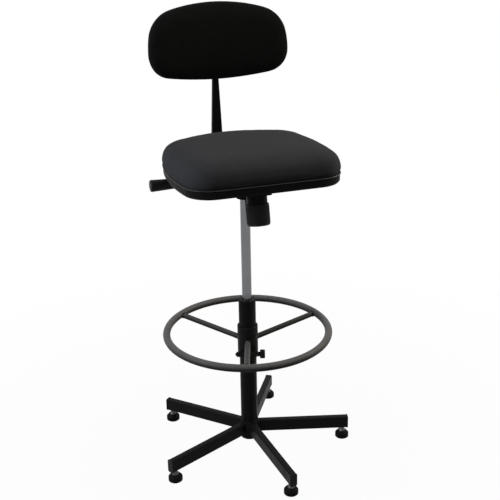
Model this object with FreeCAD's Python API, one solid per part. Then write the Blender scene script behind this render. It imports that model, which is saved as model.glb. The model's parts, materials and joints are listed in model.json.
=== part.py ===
import FreeCAD
import Part
import math
import os

# High swivel work chair: five-arm welded base on glides, gas column, foot ring,
# tilting seat with a tension knob, and a height-adjusted backrest on a tapered spine.
# Millimetres. The floor is z = 0, the column axis is x = y = 0, the sitter looks along -Y.

# Clearances shared by the pieces
SHAFT_CLEARANCE = 0.05
SLIDE_CLEARANCE = 0.1
PLAY = 0.3

# Rounding and fit, as shares of the size that each follows
GLIDE_SHOULDER_SHARE = 0.4
BUFFER_EDGE_SHARE = 0.08
PIN_TIP_SHARE = 0.3
AXLE_CHAMFER_SHARE = 0.08
FLANGE_ROUND_SHARE = 0.25
HOUSING_CORNER_WALLS = 2.0
SEAT_PLATE_CORNER_THICKNESSES = 4.0
TEE_NUT_DEPTH_SHARE = 0.8
BACK_KNOB_EDGE_SHARE = 0.15
RING_KNOB_EDGE_SHARE = 0.2

# Five-arm base
ARM_COUNT = 5
ARM_TURN = 4.6
ARM_HEIGHT = 38.0
ARM_WIDTH = 20.0
ARM_WALL = 1.5
ARM_EDGE_RADIUS = 4.0
ARM_OVERHANG = 14.0
ARM_ROOT_Z = 62.0
ARM_DROP = 10.2
CAP_THICKNESS = 3.0
CAP_PROUD = 0.8
CAP_PLUG_LENGTH = 4.0
HUB_DIAMETER = 54.0
HUB_BOTTOM_Z = 27.0
HUB_HEIGHT = 57.0

# Glides under the arm ends
GLIDE_CIRCLE_RADIUS = 287.5
GLIDE_DIAMETER = 41.0
GLIDE_RIM_HEIGHT = 13.0
GLIDE_DOME_HEIGHT = 9.0
GLIDE_DOME_TOP_DIAMETER = 25.0
GLIDE_EDGE_CHAMFER = 1.5
STEM_DIAMETER = 11.0
STEM_COLLAR_DIAMETER = 21.0
STEM_COLLAR_HEIGHT = 5.5
STEM_NECK_DIAMETER = 14.0
STEM_ROOT_DEPTH = 12.0
STEM_GRIP_LENGTH = 22.0
SOCKET_DIAMETER = 15.0
SOCKET_LENGTH = 28.0
SOCKET_STANDS_OUT = 0.6

# Stand tube and what carries the column in it
STAND_DIAMETER = 50.0
STAND_WALL = 1.6
STAND_FOOT_GAP = 1.0
STAND_TOP_Z = 481.0
BUSH_LENGTH = 90.0
BUSH_FLANGE_DIAMETER = 48.0
BUSH_FLANGE_THICKNESS = 1.6
BOTTOM_PLATE_THICKNESS = 4.0
BOTTOM_PLATE_INSET = 3.0
BEARING_DIAMETER = 30.0
BEARING_WASHER_THICKNESS = 2.0
BALL_DIAMETER = 5.0
BALL_COUNT = 9
CLIP_DIAMETER = 18.0
CLIP_THICKNESS = 1.5

# Gas column
CYLINDER_DIAMETER = 28.0
CYLINDER_WALL = 1.5
CYLINDER_BOTTOM_Z = 405.0
CYLINDER_TOP_Z = 843.0
TAPER_LENGTH = 53.0
TAPER_TOP_DIAMETER = 26.7
GAS_CHAMBER_TOP_GAP = 8.0
ROD_DIAMETER = 10.0
ROD_COLLAR_DIAMETER = 14.0
ROD_COLLAR_HEIGHT = 3.0
ROD_GUIDE_LENGTH = 18.0
PISTON_LENGTH = 12.0
PISTON_GAP = 3.0
BUFFER_DIAMETER = 24.0
BUFFER_LENGTH = 16.0
PIN_DIAMETER = 8.0
PIN_LENGTH = 36.0
PIN_STANDS_OUT = 3.0

# Tilt mechanism under the seat
SOCKET_COLLAR_DIAMETER = 48.0
SOCKET_COLLAR_BOTTOM_Z = 789.0
SOCKET_COLLAR_BELOW_TAPER = 1.0
HOUSING_WIDTH = 70.0
HOUSING_WALL = 3.0
HOUSING_FRONT_Y = -128.0
HOUSING_REAR_Y = 75.0
HOUSING_FLOOR_Z = 828.0
HOUSING_HEIGHT = 23.0
AXLE_DIAMETER = 12.0
AXLE_Y = 45.0
AXLE_Z = 840.0
AXLE_OVERHANG = 4.0
AXLE_BUSH_WALL = 2.0
AXLE_BUSH_FLANGE = 1.5
AXLE_BUSH_RIM = 0.8
FLANGE_GAP = 2.0
FLANGE_WALL = 3.0
FLANGE_LENGTH = 44.0
FLANGE_DEPTH = 27.0
SEAT_PLATE_THICKNESS = 3.0
SEAT_PLATE_HALF_WIDTH = 80.0
SEAT_PLATE_FRONT_Y = -140.0
SEAT_PLATE_REAR_Y = 152.0

# Tension knob and spring, on an axis that leans forward at its lower end
KNOB_AXIS_Y = -97.0
KNOB_LEAN = 11.0
KNOB_DIAMETER = 63.0
KNOB_LENGTH = 58.0
KNOB_WALL = 2.4
KNOB_CUP_DEPTH = 24.0
KNOB_EDGE_RADIUS = 4.0
CUP_DIAMETER = 56.0
CUP_WALL = 3.0
CUP_DROP = 31.0
CUP_INSERT = 18.0
BOLT_DIAMETER = 10.0
SPRING_DIAMETER = 40.0
SPRING_WIRE = 5.0
SPRING_TURNS = 5
SPRING_SEAT_THICKNESS = 4.0
SPRING_SEAT_GAP = 2.0
SPRING_PLUG_LENGTH = 7.0
# Share of a turn that each arc of the coil spans
COIL_STEP = 0.25

# Height lever on the sitter's right
LEVER_ROD_DIAMETER = 8.0
LEVER_BEND_RADIUS = 25.0
LEVER_INNER_END_X = 7.0
LEVER_FIRST_BEND_X = -66.0
LEVER_SECOND_BEND_X = -150.0
LEVER_Y = 87.0
LEVER_Z = 826.0
GRIP_INNER_X = -166.0
GRIP_OUTER_X = -247.0
GRIP_INNER_DIAMETER = 28.0
GRIP_OUTER_DIAMETER = 34.0
GRIP_EDGE_RADIUS = 4.0
GRIP_END_WALL = 8.0
LEVER_PIN_DIAMETER = 4.0
LEVER_PIN_LENGTH = 24.0
LEVER_NOTCH_WIDTH = 10.0
LEVER_NOTCH_DEPTH = 3.0

# Seat
SEAT_BOTTOM_Z = 860.0
SEAT_FRONT_HALF = 202.0
SEAT_REAR_HALF = 202.0
SEAT_FRONT_Y = -220.0
SEAT_REAR_Y = 195.0
SEAT_FRONT_BOW = 1.0
SEAT_SIDE_BOW = 22.0
SEAT_REAR_BOW = 76.0
SEAT_FRONT_CORNER = 72.0
SEAT_REAR_CORNER = 100.0
SHELL_WALL = 3.0
SHELL_HEIGHT = 24.0
SHELL_FOOT_INSET = 4.5
SHELL_SIDE_INSET = 1.6
SHELL_LIP_HEIGHT = 3.0
SHELL_KNEE_HEIGHT = 5.0
BOARD_THICKNESS = 10.0
BOARD_MARGIN = 4.0
CUSHION_RISE = 64.0
CUSHION_SWELL = 1.0
# The cushion's side above the lip: how far it draws in and how high it is, as shares of the rise
CUSHION_PROFILE = [(0.02, 0.4), (0.1, 0.62), (0.28, 0.8), (0.65, 0.93), (1.6, 1.0)]
CUSHION_SWELL_HEIGHT = 0.2
SCREW_DIAMETER = 6.0
SCREW_HEAD_DIAMETER = 12.0
SCREW_HEAD_HEIGHT = 4.0
SCREW_X = 62.0
SCREW_FRONT_Y = -105.0
SCREW_REAR_Y = 95.0
TEE_NUT_DIAMETER = 9.0
TEE_NUT_FLANGE_DIAMETER = 19.0
TEE_NUT_FLANGE_THICKNESS = 1.2

# Spine
SPINE_DEPTH = 14.0
SPINE_Y = 250.0
SPINE_ARM_FRONT_Y = 108.0
SPINE_INNER_BEND = 22.0
SPINE_FOOT_WIDTH = 34.0
SPINE_TOP_WIDTH = 18.0
SPINE_TAPER_START_Z = 892.0
SPINE_TAPER_END_Z = 1079.0
SPINE_TOP_Z = 1222.0
SPINE_EDGE_RADIUS = 2.5
SPINE_SCREW_DIAMETER = 8.0
SPINE_SCREW_HEAD_DIAMETER = 14.0
SPINE_SCREW_HEAD_HEIGHT = 5.0
SPINE_SCREW_EDGE = 11.0
SPINE_SCREW_PITCH = 24.0

# Backrest
BACK_Y = 224.0
BACK_Z = 1192.0
BACK_LEAN = 4.0
BACK_CURVE_RADIUS = 900.0
BACK_HALF_HEIGHT = 108.0
BACK_BOTTOM_HALF = 198.5
BACK_TOP_HALF = 184.5
BACK_BOTTOM_BOW = 20.0
BACK_SIDE_BOW = 11.0
BACK_TOP_BOW = 34.0
BACK_BOTTOM_CORNER = 65.0
BACK_TOP_CORNER = 88.0
PAD_CROWN = 31.0
PAD_EDGE_CROWN = 21.0
PAD_REAR_DEPTH = 3.0
PAD_FRONT_ROUND = 20.0
BACK_BOARD_THICKNESS = 7.0
BACK_BOARD_MARGIN = 7.0
BACK_SHELL_DEPTH = 33.0
BACK_SHELL_EDGE_DEPTH = 20.0
BACK_SHELL_MARGIN = 4.0
BACK_SHELL_WALL = 3.0
BACK_SHELL_ROUND = 15.0
GUIDE_WIDTH = 34.0
GUIDE_WALL = 3.5
GUIDE_BOTTOM_Z = 1126.0
GUIDE_TOP_Z = 1205.0
BACK_KNOB_Z = 1163.0
BACK_KNOB_DIAMETER = 44.0
BACK_KNOB_LENGTH = 24.0
BACK_KNOB_GAP = 1.0
BACK_KNOB_STEM_DIAMETER = 18.0
BACK_KNOB_STEM_LENGTH = 6.0
BACK_KNOB_LOBES = 5
BACK_KNOB_LOBE_RADIUS = 11.0
CLAMP_SCREW_DIAMETER = 8.0
BACK_SCREW_DIAMETER = 5.0
BACK_SCREW_HEAD_DIAMETER = 9.0
BACK_SCREW_HEAD_HEIGHT = 3.0
BACK_SCREW_LENGTH = 9.0
BACK_SCREW_EDGE = 12.0
GUIDE_FOOT_WIDTH = 64.0
GUIDE_FOOT_THICKNESS = 5.0

# Foot ring
RING_TURN = -19.5
RING_RADIUS = 237.3
RING_TUBE_DIAMETER = 21.4
RING_TUBE_WALL = 1.5
RING_Z = 381.6
SPOKE_COUNT = 3
SPOKE_DIAMETER = 16.0
SPOKE_WALL = 1.5
SPOKE_ROOT_Z = 350.0
SLEEVE_DIAMETER = 60.0
SLEEVE_BOTTOM_Z = 311.0
SLEEVE_TOP_Z = 401.0
SLEEVE_TOP_CHAMFER = 1.5
SLIT_WIDTH = 4.0
SLIT_HEIGHT = 30.0
BARREL_DIAMETER = 17.0
BARREL_HALF_LENGTH = 27.0
BARREL_Z = 318.5
CLAMP_BOLT_DIAMETER = 8.0
CLAMP_BOLT_REACH = 31.0
CLAMP_NUT_ACROSS = 13.0
CLAMP_NUT_THICKNESS = 6.5
CLAMP_BOLT_SPARE = 3.0
RING_KNOB_DIAMETER = 27.0
RING_KNOB_LENGTH = 15.0
RING_KNOB_STEM_DIAMETER = 14.0
RING_KNOB_STEM_LENGTH = 8.0
RING_KNOB_LOBES = 5
RING_KNOB_LOBE_RADIUS = 6.0

X_AXIS = FreeCAD.Vector(1, 0, 0)
Y_AXIS = FreeCAD.Vector(0, 1, 0)
Z_AXIS = FreeCAD.Vector(0, 0, 1)
ORIGIN = FreeCAD.Vector(0, 0, 0)
FAR = 400.0


def point(x, y, z):
    return FreeCAD.Vector(x, y, z)


def save(shape, name):
    shape.exportStep("parts/" + name + ".step")


def disc(diameter, z0, z1, x=0.0, y=0.0):
    return Part.makeCylinder(diameter / 2.0, z1 - z0, point(x, y, z0))


def tube(outer, inner, z0, z1):
    return disc(outer, z0, z1).cut(disc(inner, z0, z1))


def block(x0, x1, y0, y1, z0, z1):
    return Part.makeBox(x1 - x0, y1 - y0, z1 - z0, point(x0, y0, z0))


def bar_x(diameter, x0, x1, y, z):
    return Part.makeCylinder(diameter / 2.0, x1 - x0, point(x0, y, z), X_AXIS)


def bar_y(diameter, y0, y1, x, z):
    return Part.makeCylinder(diameter / 2.0, y1 - y0, point(x, y0, z), Y_AXIS)


def turned(shape, degrees, centre=ORIGIN, axis=Z_AXIS):
    copy = shape.copy()
    copy.rotate(centre, axis, degrees)
    return copy


def spun(profile, axis=Z_AXIS, centre=ORIGIN):
    # Solid of revolution from a closed list of points
    face = Part.Face(Part.makePolygon(profile + [profile[0]]))
    return face.revolve(centre, axis, 360)


def arc(a, b, c):
    return Part.Arc(a, b, c).toShape()


def line(a, b):
    return Part.LineSegment(a, b).toShape()


def rims_where(shape, keep):
    # Full-circle edges whose centre of mass passes a test
    return [e for e in shape.Edges if e.Closed and keep(e.CenterOfMass)]


def edges_along(shape, direction):
    # Straight edges of a shape that run along a direction
    found = []
    for edge in shape.Edges:
        run = edge.Vertexes[-1].Point - edge.Vertexes[0].Point
        straight = abs(run.Length - edge.Length) < 1e-6 and run.Length > 1e-6
        if straight and abs(run.dot(direction)) > run.Length * 0.999:
            found.append(edge)
    return found


def rounded_outline(front_half, rear_half, front_y, rear_y, bows, corners):
    # Four bowed edges with rounded corners, in the plane z = 0
    front_bow, side_bow, rear_bow = bows
    front_corner, rear_corner = corners
    near = front_y + front_bow
    far = rear_y - rear_bow
    middle = (front_half + rear_half) / 2.0 + side_bow
    mid_y = (near + far) / 2.0
    front_left = point(-front_half, near, 0)
    front_right = point(front_half, near, 0)
    rear_right = point(rear_half, far, 0)
    rear_left = point(-rear_half, far, 0)
    sides = [
        arc(front_left, point(0, front_y, 0), front_right),
        arc(front_right, point(middle, mid_y, 0), rear_right),
        arc(rear_right, point(0, rear_y, 0), rear_left),
        arc(rear_left, point(-middle, mid_y, 0), front_left),
    ]
    prism = Part.Face(Part.Wire(sides)).extrude(Z_AXIS)
    front_edges = [e for e in edges_along(prism, Z_AXIS) if e.CenterOfMass.y < mid_y]
    prism = prism.makeFillet(front_corner, front_edges)
    rear_edges = [e for e in edges_along(prism, Z_AXIS) if e.CenterOfMass.y > far - 1.0]
    prism = prism.makeFillet(rear_corner, rear_edges)
    floor = min(prism.Faces, key=lambda f: f.CenterOfMass.z)
    return floor.OuterWire


def seat_outline(inset, z):
    # The seat's plan outline drawn in by an inset, at a height
    share = 1.0 - inset / SEAT_FRONT_HALF
    wire = rounded_outline(
        SEAT_FRONT_HALF - inset,
        SEAT_REAR_HALF - inset,
        SEAT_FRONT_Y + inset,
        SEAT_REAR_Y - inset,
        (SEAT_FRONT_BOW * share, SEAT_SIDE_BOW * share, SEAT_REAR_BOW * share),
        (SEAT_FRONT_CORNER * share, SEAT_REAR_CORNER * share),
    )
    wire.translate(point(0, 0, z))
    return wire


def back_outline(inset):
    # The backrest's front outline drawn in by an inset, standing in the plane y = 0
    share = 1.0 - inset / BACK_HALF_HEIGHT
    wire = rounded_outline(
        BACK_BOTTOM_HALF - inset,
        BACK_TOP_HALF - inset,
        -BACK_HALF_HEIGHT + inset,
        BACK_HALF_HEIGHT - inset,
        (BACK_BOTTOM_BOW * share, BACK_SIDE_BOW * share, BACK_TOP_BOW * share),
        (BACK_BOTTOM_CORNER * share, BACK_TOP_CORNER * share),
    )
    wire.rotate(ORIGIN, X_AXIS, 90)
    return wire


def rod_path(points, radius):
    # Straight runs joined by tangent arcs
    edges = []
    start = points[0]
    for before, corner, after in zip(points, points[1:], points[2:]):
        back = (before - corner).normalize()
        ahead = (after - corner).normalize()
        half = math.acos(max(-1.0, min(1.0, back.dot(ahead)))) / 2.0
        reach = radius / math.tan(half)
        bisector = (back + ahead).normalize()
        centre = corner + bisector * (radius / math.sin(half))
        first = corner + back * reach
        last = corner + ahead * reach
        edges.append(line(start, first))
        edges.append(arc(first, centre - bisector * radius, last))
        start = last
    edges.append(line(start, points[-1]))
    return Part.Wire(edges)


def rod_along(points, radius, diameter):
    path = rod_path(points, radius)
    circle = Part.Circle(points[0], points[1] - points[0], diameter / 2.0)
    return path.makePipeShell([Part.Wire(circle.toShape())], True, False)


def end_edges(shape):
    # Edges of a shape standing along Z that lie level, on its two ends
    return [e for e in shape.Edges if e.BoundBox.ZLength < 0.01]


def star_knob(diameter, length, lobes, lobe_radius):
    # Hand knob with round lobes, standing on z = 0 along +Z
    middle = diameter / 2.0 - lobe_radius
    knob = disc(2.0 * middle + lobe_radius, 0.0, length)
    for i in range(lobes):
        angle = 2.0 * math.pi * i / lobes
        lobe_x = middle * math.cos(angle)
        lobe_y = middle * math.sin(angle)
        knob = knob.fuse(disc(2.0 * lobe_radius, 0.0, length, lobe_x, lobe_y))
    return knob.removeSplitter()


# Base: hub, arms, end caps, glide sockets
hub_top_z = HUB_BOTTOM_Z + HUB_HEIGHT
hub_bore = STAND_DIAMETER + 2.0 * SHAFT_CLEARANCE
stand_bottom_z = HUB_BOTTOM_Z + STAND_FOOT_GAP
arm_end_radius = GLIDE_CIRCLE_RADIUS + ARM_OVERHANG


def arm_centre_z(radius):
    return ARM_ROOT_Z - ARM_DROP * radius / arm_end_radius


def arm_section(radius, inset):
    # Rounded rectangle across the arm at a distance from the column axis
    half_width = ARM_WIDTH / 2.0 - inset
    half_height = ARM_HEIGHT / 2.0 - inset
    edge_radius = max(ARM_EDGE_RADIUS - inset, ARM_WALL / 2.0)
    plate = block(-1.0, 0.0, -half_width, half_width, -half_height, half_height)
    plate = plate.makeFillet(edge_radius, edges_along(plate, X_AXIS))
    face = max(plate.Faces, key=lambda f: f.CenterOfMass.x)
    face = face.copy()
    face.translate(point(radius, 0, arm_centre_z(radius)))
    return face


def arm_run(start, end, inset):
    fall = arm_centre_z(end) - arm_centre_z(start)
    return arm_section(start, inset).extrude(point(end - start, 0, fall))


arm_underside_z = arm_centre_z(GLIDE_CIRCLE_RADIUS) - ARM_HEIGHT / 2.0
socket_bottom_z = arm_underside_z - SOCKET_STANDS_OUT
stem_bore = STEM_DIAMETER + 2.0 * SHAFT_CLEARANCE
socket_bore = SOCKET_DIAMETER + 2.0 * SHAFT_CLEARANCE
socket_hole = disc(socket_bore, 0.0, arm_centre_z(GLIDE_CIRCLE_RADIUS), GLIDE_CIRCLE_RADIUS)
hub_space = disc(HUB_DIAMETER + 2.0 * SHAFT_CLEARANCE, 0.0, FAR)

arm = arm_run(0.0, arm_end_radius, 0.0).cut(arm_run(0.0, arm_end_radius, ARM_WALL))
arm = arm.cut(hub_space).cut(socket_hole)
arm = max(arm.Solids, key=lambda s: s.CenterOfMass.x)

cap_end = arm_end_radius + CAP_THICKNESS
cap = arm_run(arm_end_radius, cap_end, -CAP_PROUD)
cap = cap.fuse(arm_run(arm_end_radius - CAP_PLUG_LENGTH, arm_end_radius, ARM_WALL + SLIDE_CLEARANCE))
cap = cap.removeSplitter()

socket = disc(SOCKET_DIAMETER, socket_bottom_z, socket_bottom_z + SOCKET_LENGTH, GLIDE_CIRCLE_RADIUS)
socket = socket.cut(disc(stem_bore, 0.0, FAR, GLIDE_CIRCLE_RADIUS))

# One glide: a plastic foot on a steel stem that turns in its socket
glide_top_z = GLIDE_RIM_HEIGHT + GLIDE_DOME_HEIGHT
collar_top_z = glide_top_z + STEM_COLLAR_HEIGHT
foot_radius = GLIDE_DIAMETER / 2.0
foot = spun([
    point(0, 0, 0),
    point(foot_radius - GLIDE_EDGE_CHAMFER, 0, 0),
    point(foot_radius, 0, GLIDE_EDGE_CHAMFER),
    point(foot_radius, 0, GLIDE_RIM_HEIGHT),
    point(GLIDE_DOME_TOP_DIAMETER / 2.0, 0, glide_top_z),
    point(0, 0, glide_top_z),
])
shoulder = rims_where(foot, lambda c: abs(c.z - GLIDE_RIM_HEIGHT) < 1e-6)
foot = foot.makeFillet(GLIDE_DOME_HEIGHT * GLIDE_SHOULDER_SHARE, shoulder)
foot = foot.cut(disc(stem_bore, glide_top_z - STEM_ROOT_DEPTH, FAR))

stem = disc(STEM_DIAMETER, glide_top_z - STEM_ROOT_DEPTH + PLAY, socket_bottom_z + STEM_GRIP_LENGTH)
collar = spun([
    point(0, 0, glide_top_z),
    point(STEM_COLLAR_DIAMETER / 2.0, 0, glide_top_z),
    point(STEM_NECK_DIAMETER / 2.0, 0, collar_top_z),
    point(0, 0, collar_top_z),
])
neck = disc(STEM_NECK_DIAMETER, collar_top_z, socket_bottom_z - PLAY)
stem = stem.fuse(collar).fuse(neck).removeSplitter()

arm_angles = [-90.0 + ARM_TURN + 360.0 * i / ARM_COUNT for i in range(ARM_COUNT)]

# Stand tube, its guide bush and the plate that carries the column
stand_bore = STAND_DIAMETER - 2.0 * STAND_WALL
cylinder_bore = CYLINDER_DIAMETER - 2.0 * CYLINDER_WALL
stand_tube = tube(STAND_DIAMETER, stand_bore, stand_bottom_z, STAND_TOP_Z)
guide_bush = disc(stand_bore - 2.0 * SHAFT_CLEARANCE, STAND_TOP_Z - BUSH_LENGTH, STAND_TOP_Z)
guide_bush = guide_bush.fuse(disc(BUSH_FLANGE_DIAMETER, STAND_TOP_Z, STAND_TOP_Z + BUSH_FLANGE_THICKNESS))
bush_bore = CYLINDER_DIAMETER + 2.0 * SHAFT_CLEARANCE
guide_bush = guide_bush.cut(disc(bush_bore, 0.0, STAND_TOP_Z + FAR)).removeSplitter()
plate_bottom_z = stand_bottom_z + BOTTOM_PLATE_INSET
plate_top_z = plate_bottom_z + BOTTOM_PLATE_THICKNESS
rod_hole = ROD_DIAMETER + 2.0 * SHAFT_CLEARANCE
bottom_plate = tube(stand_bore - 2.0 * SHAFT_CLEARANCE, rod_hole, plate_bottom_z, plate_top_z)

# Piston rod on its thrust bearing
washer_top_z = plate_top_z + BEARING_WASHER_THICKNESS
race_bottom_z = washer_top_z + BALL_DIAMETER + 2.0 * SHAFT_CLEARANCE
bearing_top_z = race_bottom_z + BEARING_WASHER_THICKNESS
ball_circle = (BEARING_DIAMETER + ROD_DIAMETER) / 4.0
bearing_pieces = [
    tube(BEARING_DIAMETER, rod_hole, plate_top_z, washer_top_z),
    tube(BEARING_DIAMETER, rod_hole, race_bottom_z, bearing_top_z),
]
for i in range(BALL_COUNT):
    angle = 2.0 * math.pi * i / BALL_COUNT
    ball_z = (washer_top_z + race_bottom_z) / 2.0
    centre = point(ball_circle * math.cos(angle), ball_circle * math.sin(angle), ball_z)
    bearing_pieces.append(Part.makeSphere(BALL_DIAMETER / 2.0, centre))
thrust_bearing = Part.makeCompound(bearing_pieces)

clip_top_z = plate_bottom_z - SHAFT_CLEARANCE
rod_clip = tube(CLIP_DIAMETER, rod_hole, clip_top_z - CLIP_THICKNESS, clip_top_z)
guide_top_z = CYLINDER_BOTTOM_Z + ROD_GUIDE_LENGTH
piston_bottom_z = guide_top_z + PISTON_GAP
piston_top_z = piston_bottom_z + PISTON_LENGTH
collar_end_z = bearing_top_z + ROD_COLLAR_HEIGHT
piston_rod = disc(ROD_DIAMETER, clip_top_z - CLIP_THICKNESS, piston_top_z)
piston_rod = piston_rod.fuse(disc(ROD_COLLAR_DIAMETER, bearing_top_z, collar_end_z)).removeSplitter()
piston = tube(cylinder_bore - 2.0 * SHAFT_CLEARANCE, rod_hole, piston_bottom_z, piston_top_z)
rubber_buffer = tube(BUFFER_DIAMETER, rod_hole, collar_end_z, collar_end_z + BUFFER_LENGTH)
round_edges = [e for e in rubber_buffer.Edges if e.BoundBox.XLength > ROD_COLLAR_DIAMETER and e.Closed]
rubber_buffer = rubber_buffer.makeFillet(BUFFER_DIAMETER * BUFFER_EDGE_SHARE, round_edges)

# Gas cylinder with its tapered top, and the release pin in it
taper_start_z = CYLINDER_TOP_Z - TAPER_LENGTH
chamber_top_z = taper_start_z - GAS_CHAMBER_TOP_GAP
pin_bottom_z = CYLINDER_TOP_Z + PIN_STANDS_OUT - PIN_LENGTH
gas_cylinder = disc(CYLINDER_DIAMETER, CYLINDER_BOTTOM_Z, taper_start_z)
taper_base = point(0, 0, taper_start_z)
taper = Part.makeCone(CYLINDER_DIAMETER / 2.0, TAPER_TOP_DIAMETER / 2.0, TAPER_LENGTH, taper_base)
gas_cylinder = gas_cylinder.fuse(taper)
gas_cylinder = gas_cylinder.cut(disc(cylinder_bore, CYLINDER_BOTTOM_Z, chamber_top_z))
pin_hole = disc(PIN_DIAMETER + 2.0 * SHAFT_CLEARANCE, pin_bottom_z - PIN_STANDS_OUT - PLAY, CYLINDER_TOP_Z)
gas_cylinder = gas_cylinder.cut(pin_hole).removeSplitter()
rod_guide = tube(cylinder_bore - 2.0 * SHAFT_CLEARANCE, rod_hole, CYLINDER_BOTTOM_Z, guide_top_z)

pin_top_z = CYLINDER_TOP_Z + PIN_STANDS_OUT
release_pin = disc(PIN_DIAMETER, pin_bottom_z, pin_top_z)
pin_rim = rims_where(release_pin, lambda c: c.z > CYLINDER_TOP_Z)
release_pin = release_pin.makeFillet(PIN_DIAMETER * PIN_TIP_SHARE, pin_rim)

# Taper socket that the column is pressed into
collar_top = CYLINDER_TOP_Z - SOCKET_COLLAR_BELOW_TAPER
taper_slope = (CYLINDER_DIAMETER - TAPER_TOP_DIAMETER) / 2.0 / TAPER_LENGTH


def taper_radius(z):
    return CYLINDER_DIAMETER / 2.0 - taper_slope * (z - taper_start_z) + SHAFT_CLEARANCE


taper_socket = disc(SOCKET_COLLAR_DIAMETER, SOCKET_COLLAR_BOTTOM_Z, collar_top)
taper_bore = Part.makeCone(
    taper_radius(SOCKET_COLLAR_BOTTOM_Z),
    taper_radius(collar_top),
    collar_top - SOCKET_COLLAR_BOTTOM_Z,
    point(0, 0, SOCKET_COLLAR_BOTTOM_Z),
)
taper_socket = taper_socket.cut(taper_bore)

# Lever rod: over the release pin, out through a notch, back and out to the grip
lever_z = pin_top_z + PLAY + LEVER_ROD_DIAMETER / 2.0

# Housing of the tilt mechanism
housing_half = HOUSING_WIDTH / 2.0
housing_top_z = HOUSING_FLOOR_Z + HOUSING_HEIGHT
floor_top_z = HOUSING_FLOOR_Z + HOUSING_WALL
axle_bush_diameter = AXLE_DIAMETER + 2.0 * AXLE_BUSH_WALL
knob_point = point(0, KNOB_AXIS_Y, floor_top_z)


def on_knob_axis(shape):
    # Moves a shape built about the Z axis, with z = 0 at the housing floor, onto the knob's axis
    copy = shape.copy()
    copy.rotate(ORIGIN, X_AXIS, -KNOB_LEAN)
    copy.translate(knob_point)
    return copy


housing = block(-housing_half, housing_half, HOUSING_FRONT_Y, HOUSING_REAR_Y, HOUSING_FLOOR_Z, housing_top_z)
housing = housing.makeFillet(HOUSING_CORNER_WALLS * HOUSING_WALL, edges_along(housing, Z_AXIS))
housing = housing.cut(block(
    HOUSING_WALL - housing_half,
    housing_half - HOUSING_WALL,
    HOUSING_FRONT_Y + HOUSING_WALL,
    HOUSING_REAR_Y - HOUSING_WALL,
    floor_top_z,
    housing_top_z,
))
housing = housing.cut(disc(SOCKET_COLLAR_DIAMETER + 2.0 * SHAFT_CLEARANCE, 0.0, FAR + HOUSING_FLOOR_Z))
cup_bore = CUP_DIAMETER - 2.0 * CUP_WALL
housing = housing.cut(on_knob_axis(disc(cup_bore, -FAR, FAR)))
housing = housing.cut(bar_x(axle_bush_diameter + 2.0 * SHAFT_CLEARANCE, -FAR, FAR, AXLE_Y, AXLE_Z))
lever_pivot_x = HOUSING_WALL / 2.0 - housing_half
pin_groove = LEVER_PIN_DIAMETER + 2.0 * SHAFT_CLEARANCE
groove_half = LEVER_PIN_LENGTH / 2.0 + PLAY
housing = housing.cut(bar_y(pin_groove, -groove_half, groove_half, lever_pivot_x, lever_z))
notch_half = LEVER_NOTCH_WIDTH / 2.0
notch_floor_z = lever_z - LEVER_ROD_DIAMETER / 2.0 - LEVER_NOTCH_DEPTH
housing = housing.cut(block(-FAR, 0.0, -notch_half, notch_half, notch_floor_z, housing_top_z))

# Axle, its bushes and the seat plate that tilts on it
bush_inner_x = housing_half - HOUSING_WALL - AXLE_BUSH_FLANGE
bush = bar_x(axle_bush_diameter, bush_inner_x, housing_half + AXLE_BUSH_FLANGE, AXLE_Y, AXLE_Z)
rim_diameter = axle_bush_diameter + 2.0 * AXLE_BUSH_RIM
bush = bush.fuse(bar_x(rim_diameter, bush_inner_x, housing_half - HOUSING_WALL, AXLE_Y, AXLE_Z))
bush = bush.cut(bar_x(AXLE_DIAMETER + 2.0 * SHAFT_CLEARANCE, 0.0, FAR, AXLE_Y, AXLE_Z)).removeSplitter()
axle_bushes = Part.makeCompound([bush, bush.mirror(ORIGIN, X_AXIS)])

flange_inner_x = housing_half + FLANGE_GAP
flange_outer_x = flange_inner_x + FLANGE_WALL
axle_end_x = flange_outer_x + AXLE_OVERHANG
tilt_axle = bar_x(AXLE_DIAMETER, -axle_end_x, axle_end_x, AXLE_Y, AXLE_Z)
axle_rims = [e for e in tilt_axle.Edges if e.Closed]
tilt_axle = tilt_axle.makeChamfer(AXLE_DIAMETER * AXLE_CHAMFER_SHARE, axle_rims)

plate_z0 = SEAT_BOTTOM_Z - SEAT_PLATE_THICKNESS
seat_plate = block(
    -SEAT_PLATE_HALF_WIDTH,
    SEAT_PLATE_HALF_WIDTH,
    SEAT_PLATE_FRONT_Y,
    SEAT_PLATE_REAR_Y,
    plate_z0,
    SEAT_BOTTOM_Z,
)
plate_corner = SEAT_PLATE_CORNER_THICKNESSES * SEAT_PLATE_THICKNESS
seat_plate = seat_plate.makeFillet(plate_corner, edges_along(seat_plate, Z_AXIS))
flange_front_y = AXLE_Y - FLANGE_LENGTH / 2.0
flange_rear_y = AXLE_Y + FLANGE_LENGTH / 2.0
for side in (-1, 1):
    x0, x1 = sorted((side * flange_inner_x, side * flange_outer_x))
    flange = block(x0, x1, flange_front_y, flange_rear_y, plate_z0 - FLANGE_DEPTH, plate_z0)
    lower_edges = [e for e in edges_along(flange, X_AXIS) if e.CenterOfMass.z < plate_z0 - 1.0]
    flange = flange.makeFillet(FLANGE_LENGTH * FLANGE_ROUND_SHARE, lower_edges)
    seat_plate = seat_plate.fuse(flange)
seat_plate = seat_plate.cut(bar_x(AXLE_DIAMETER + 2.0 * SHAFT_CLEARANCE, -FAR, FAR, AXLE_Y, AXLE_Z))
screw_spots = [(x, y) for x in (-SCREW_X, SCREW_X) for y in (SCREW_FRONT_Y, SCREW_REAR_Y)]
screw_hole = SCREW_DIAMETER + 2.0 * SLIDE_CLEARANCE
for x, y in screw_spots:
    seat_plate = seat_plate.cut(disc(screw_hole, plate_z0, SEAT_BOTTOM_Z, x, y))
first_spine_screw_y = SPINE_ARM_FRONT_Y + SPINE_SCREW_EDGE
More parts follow.
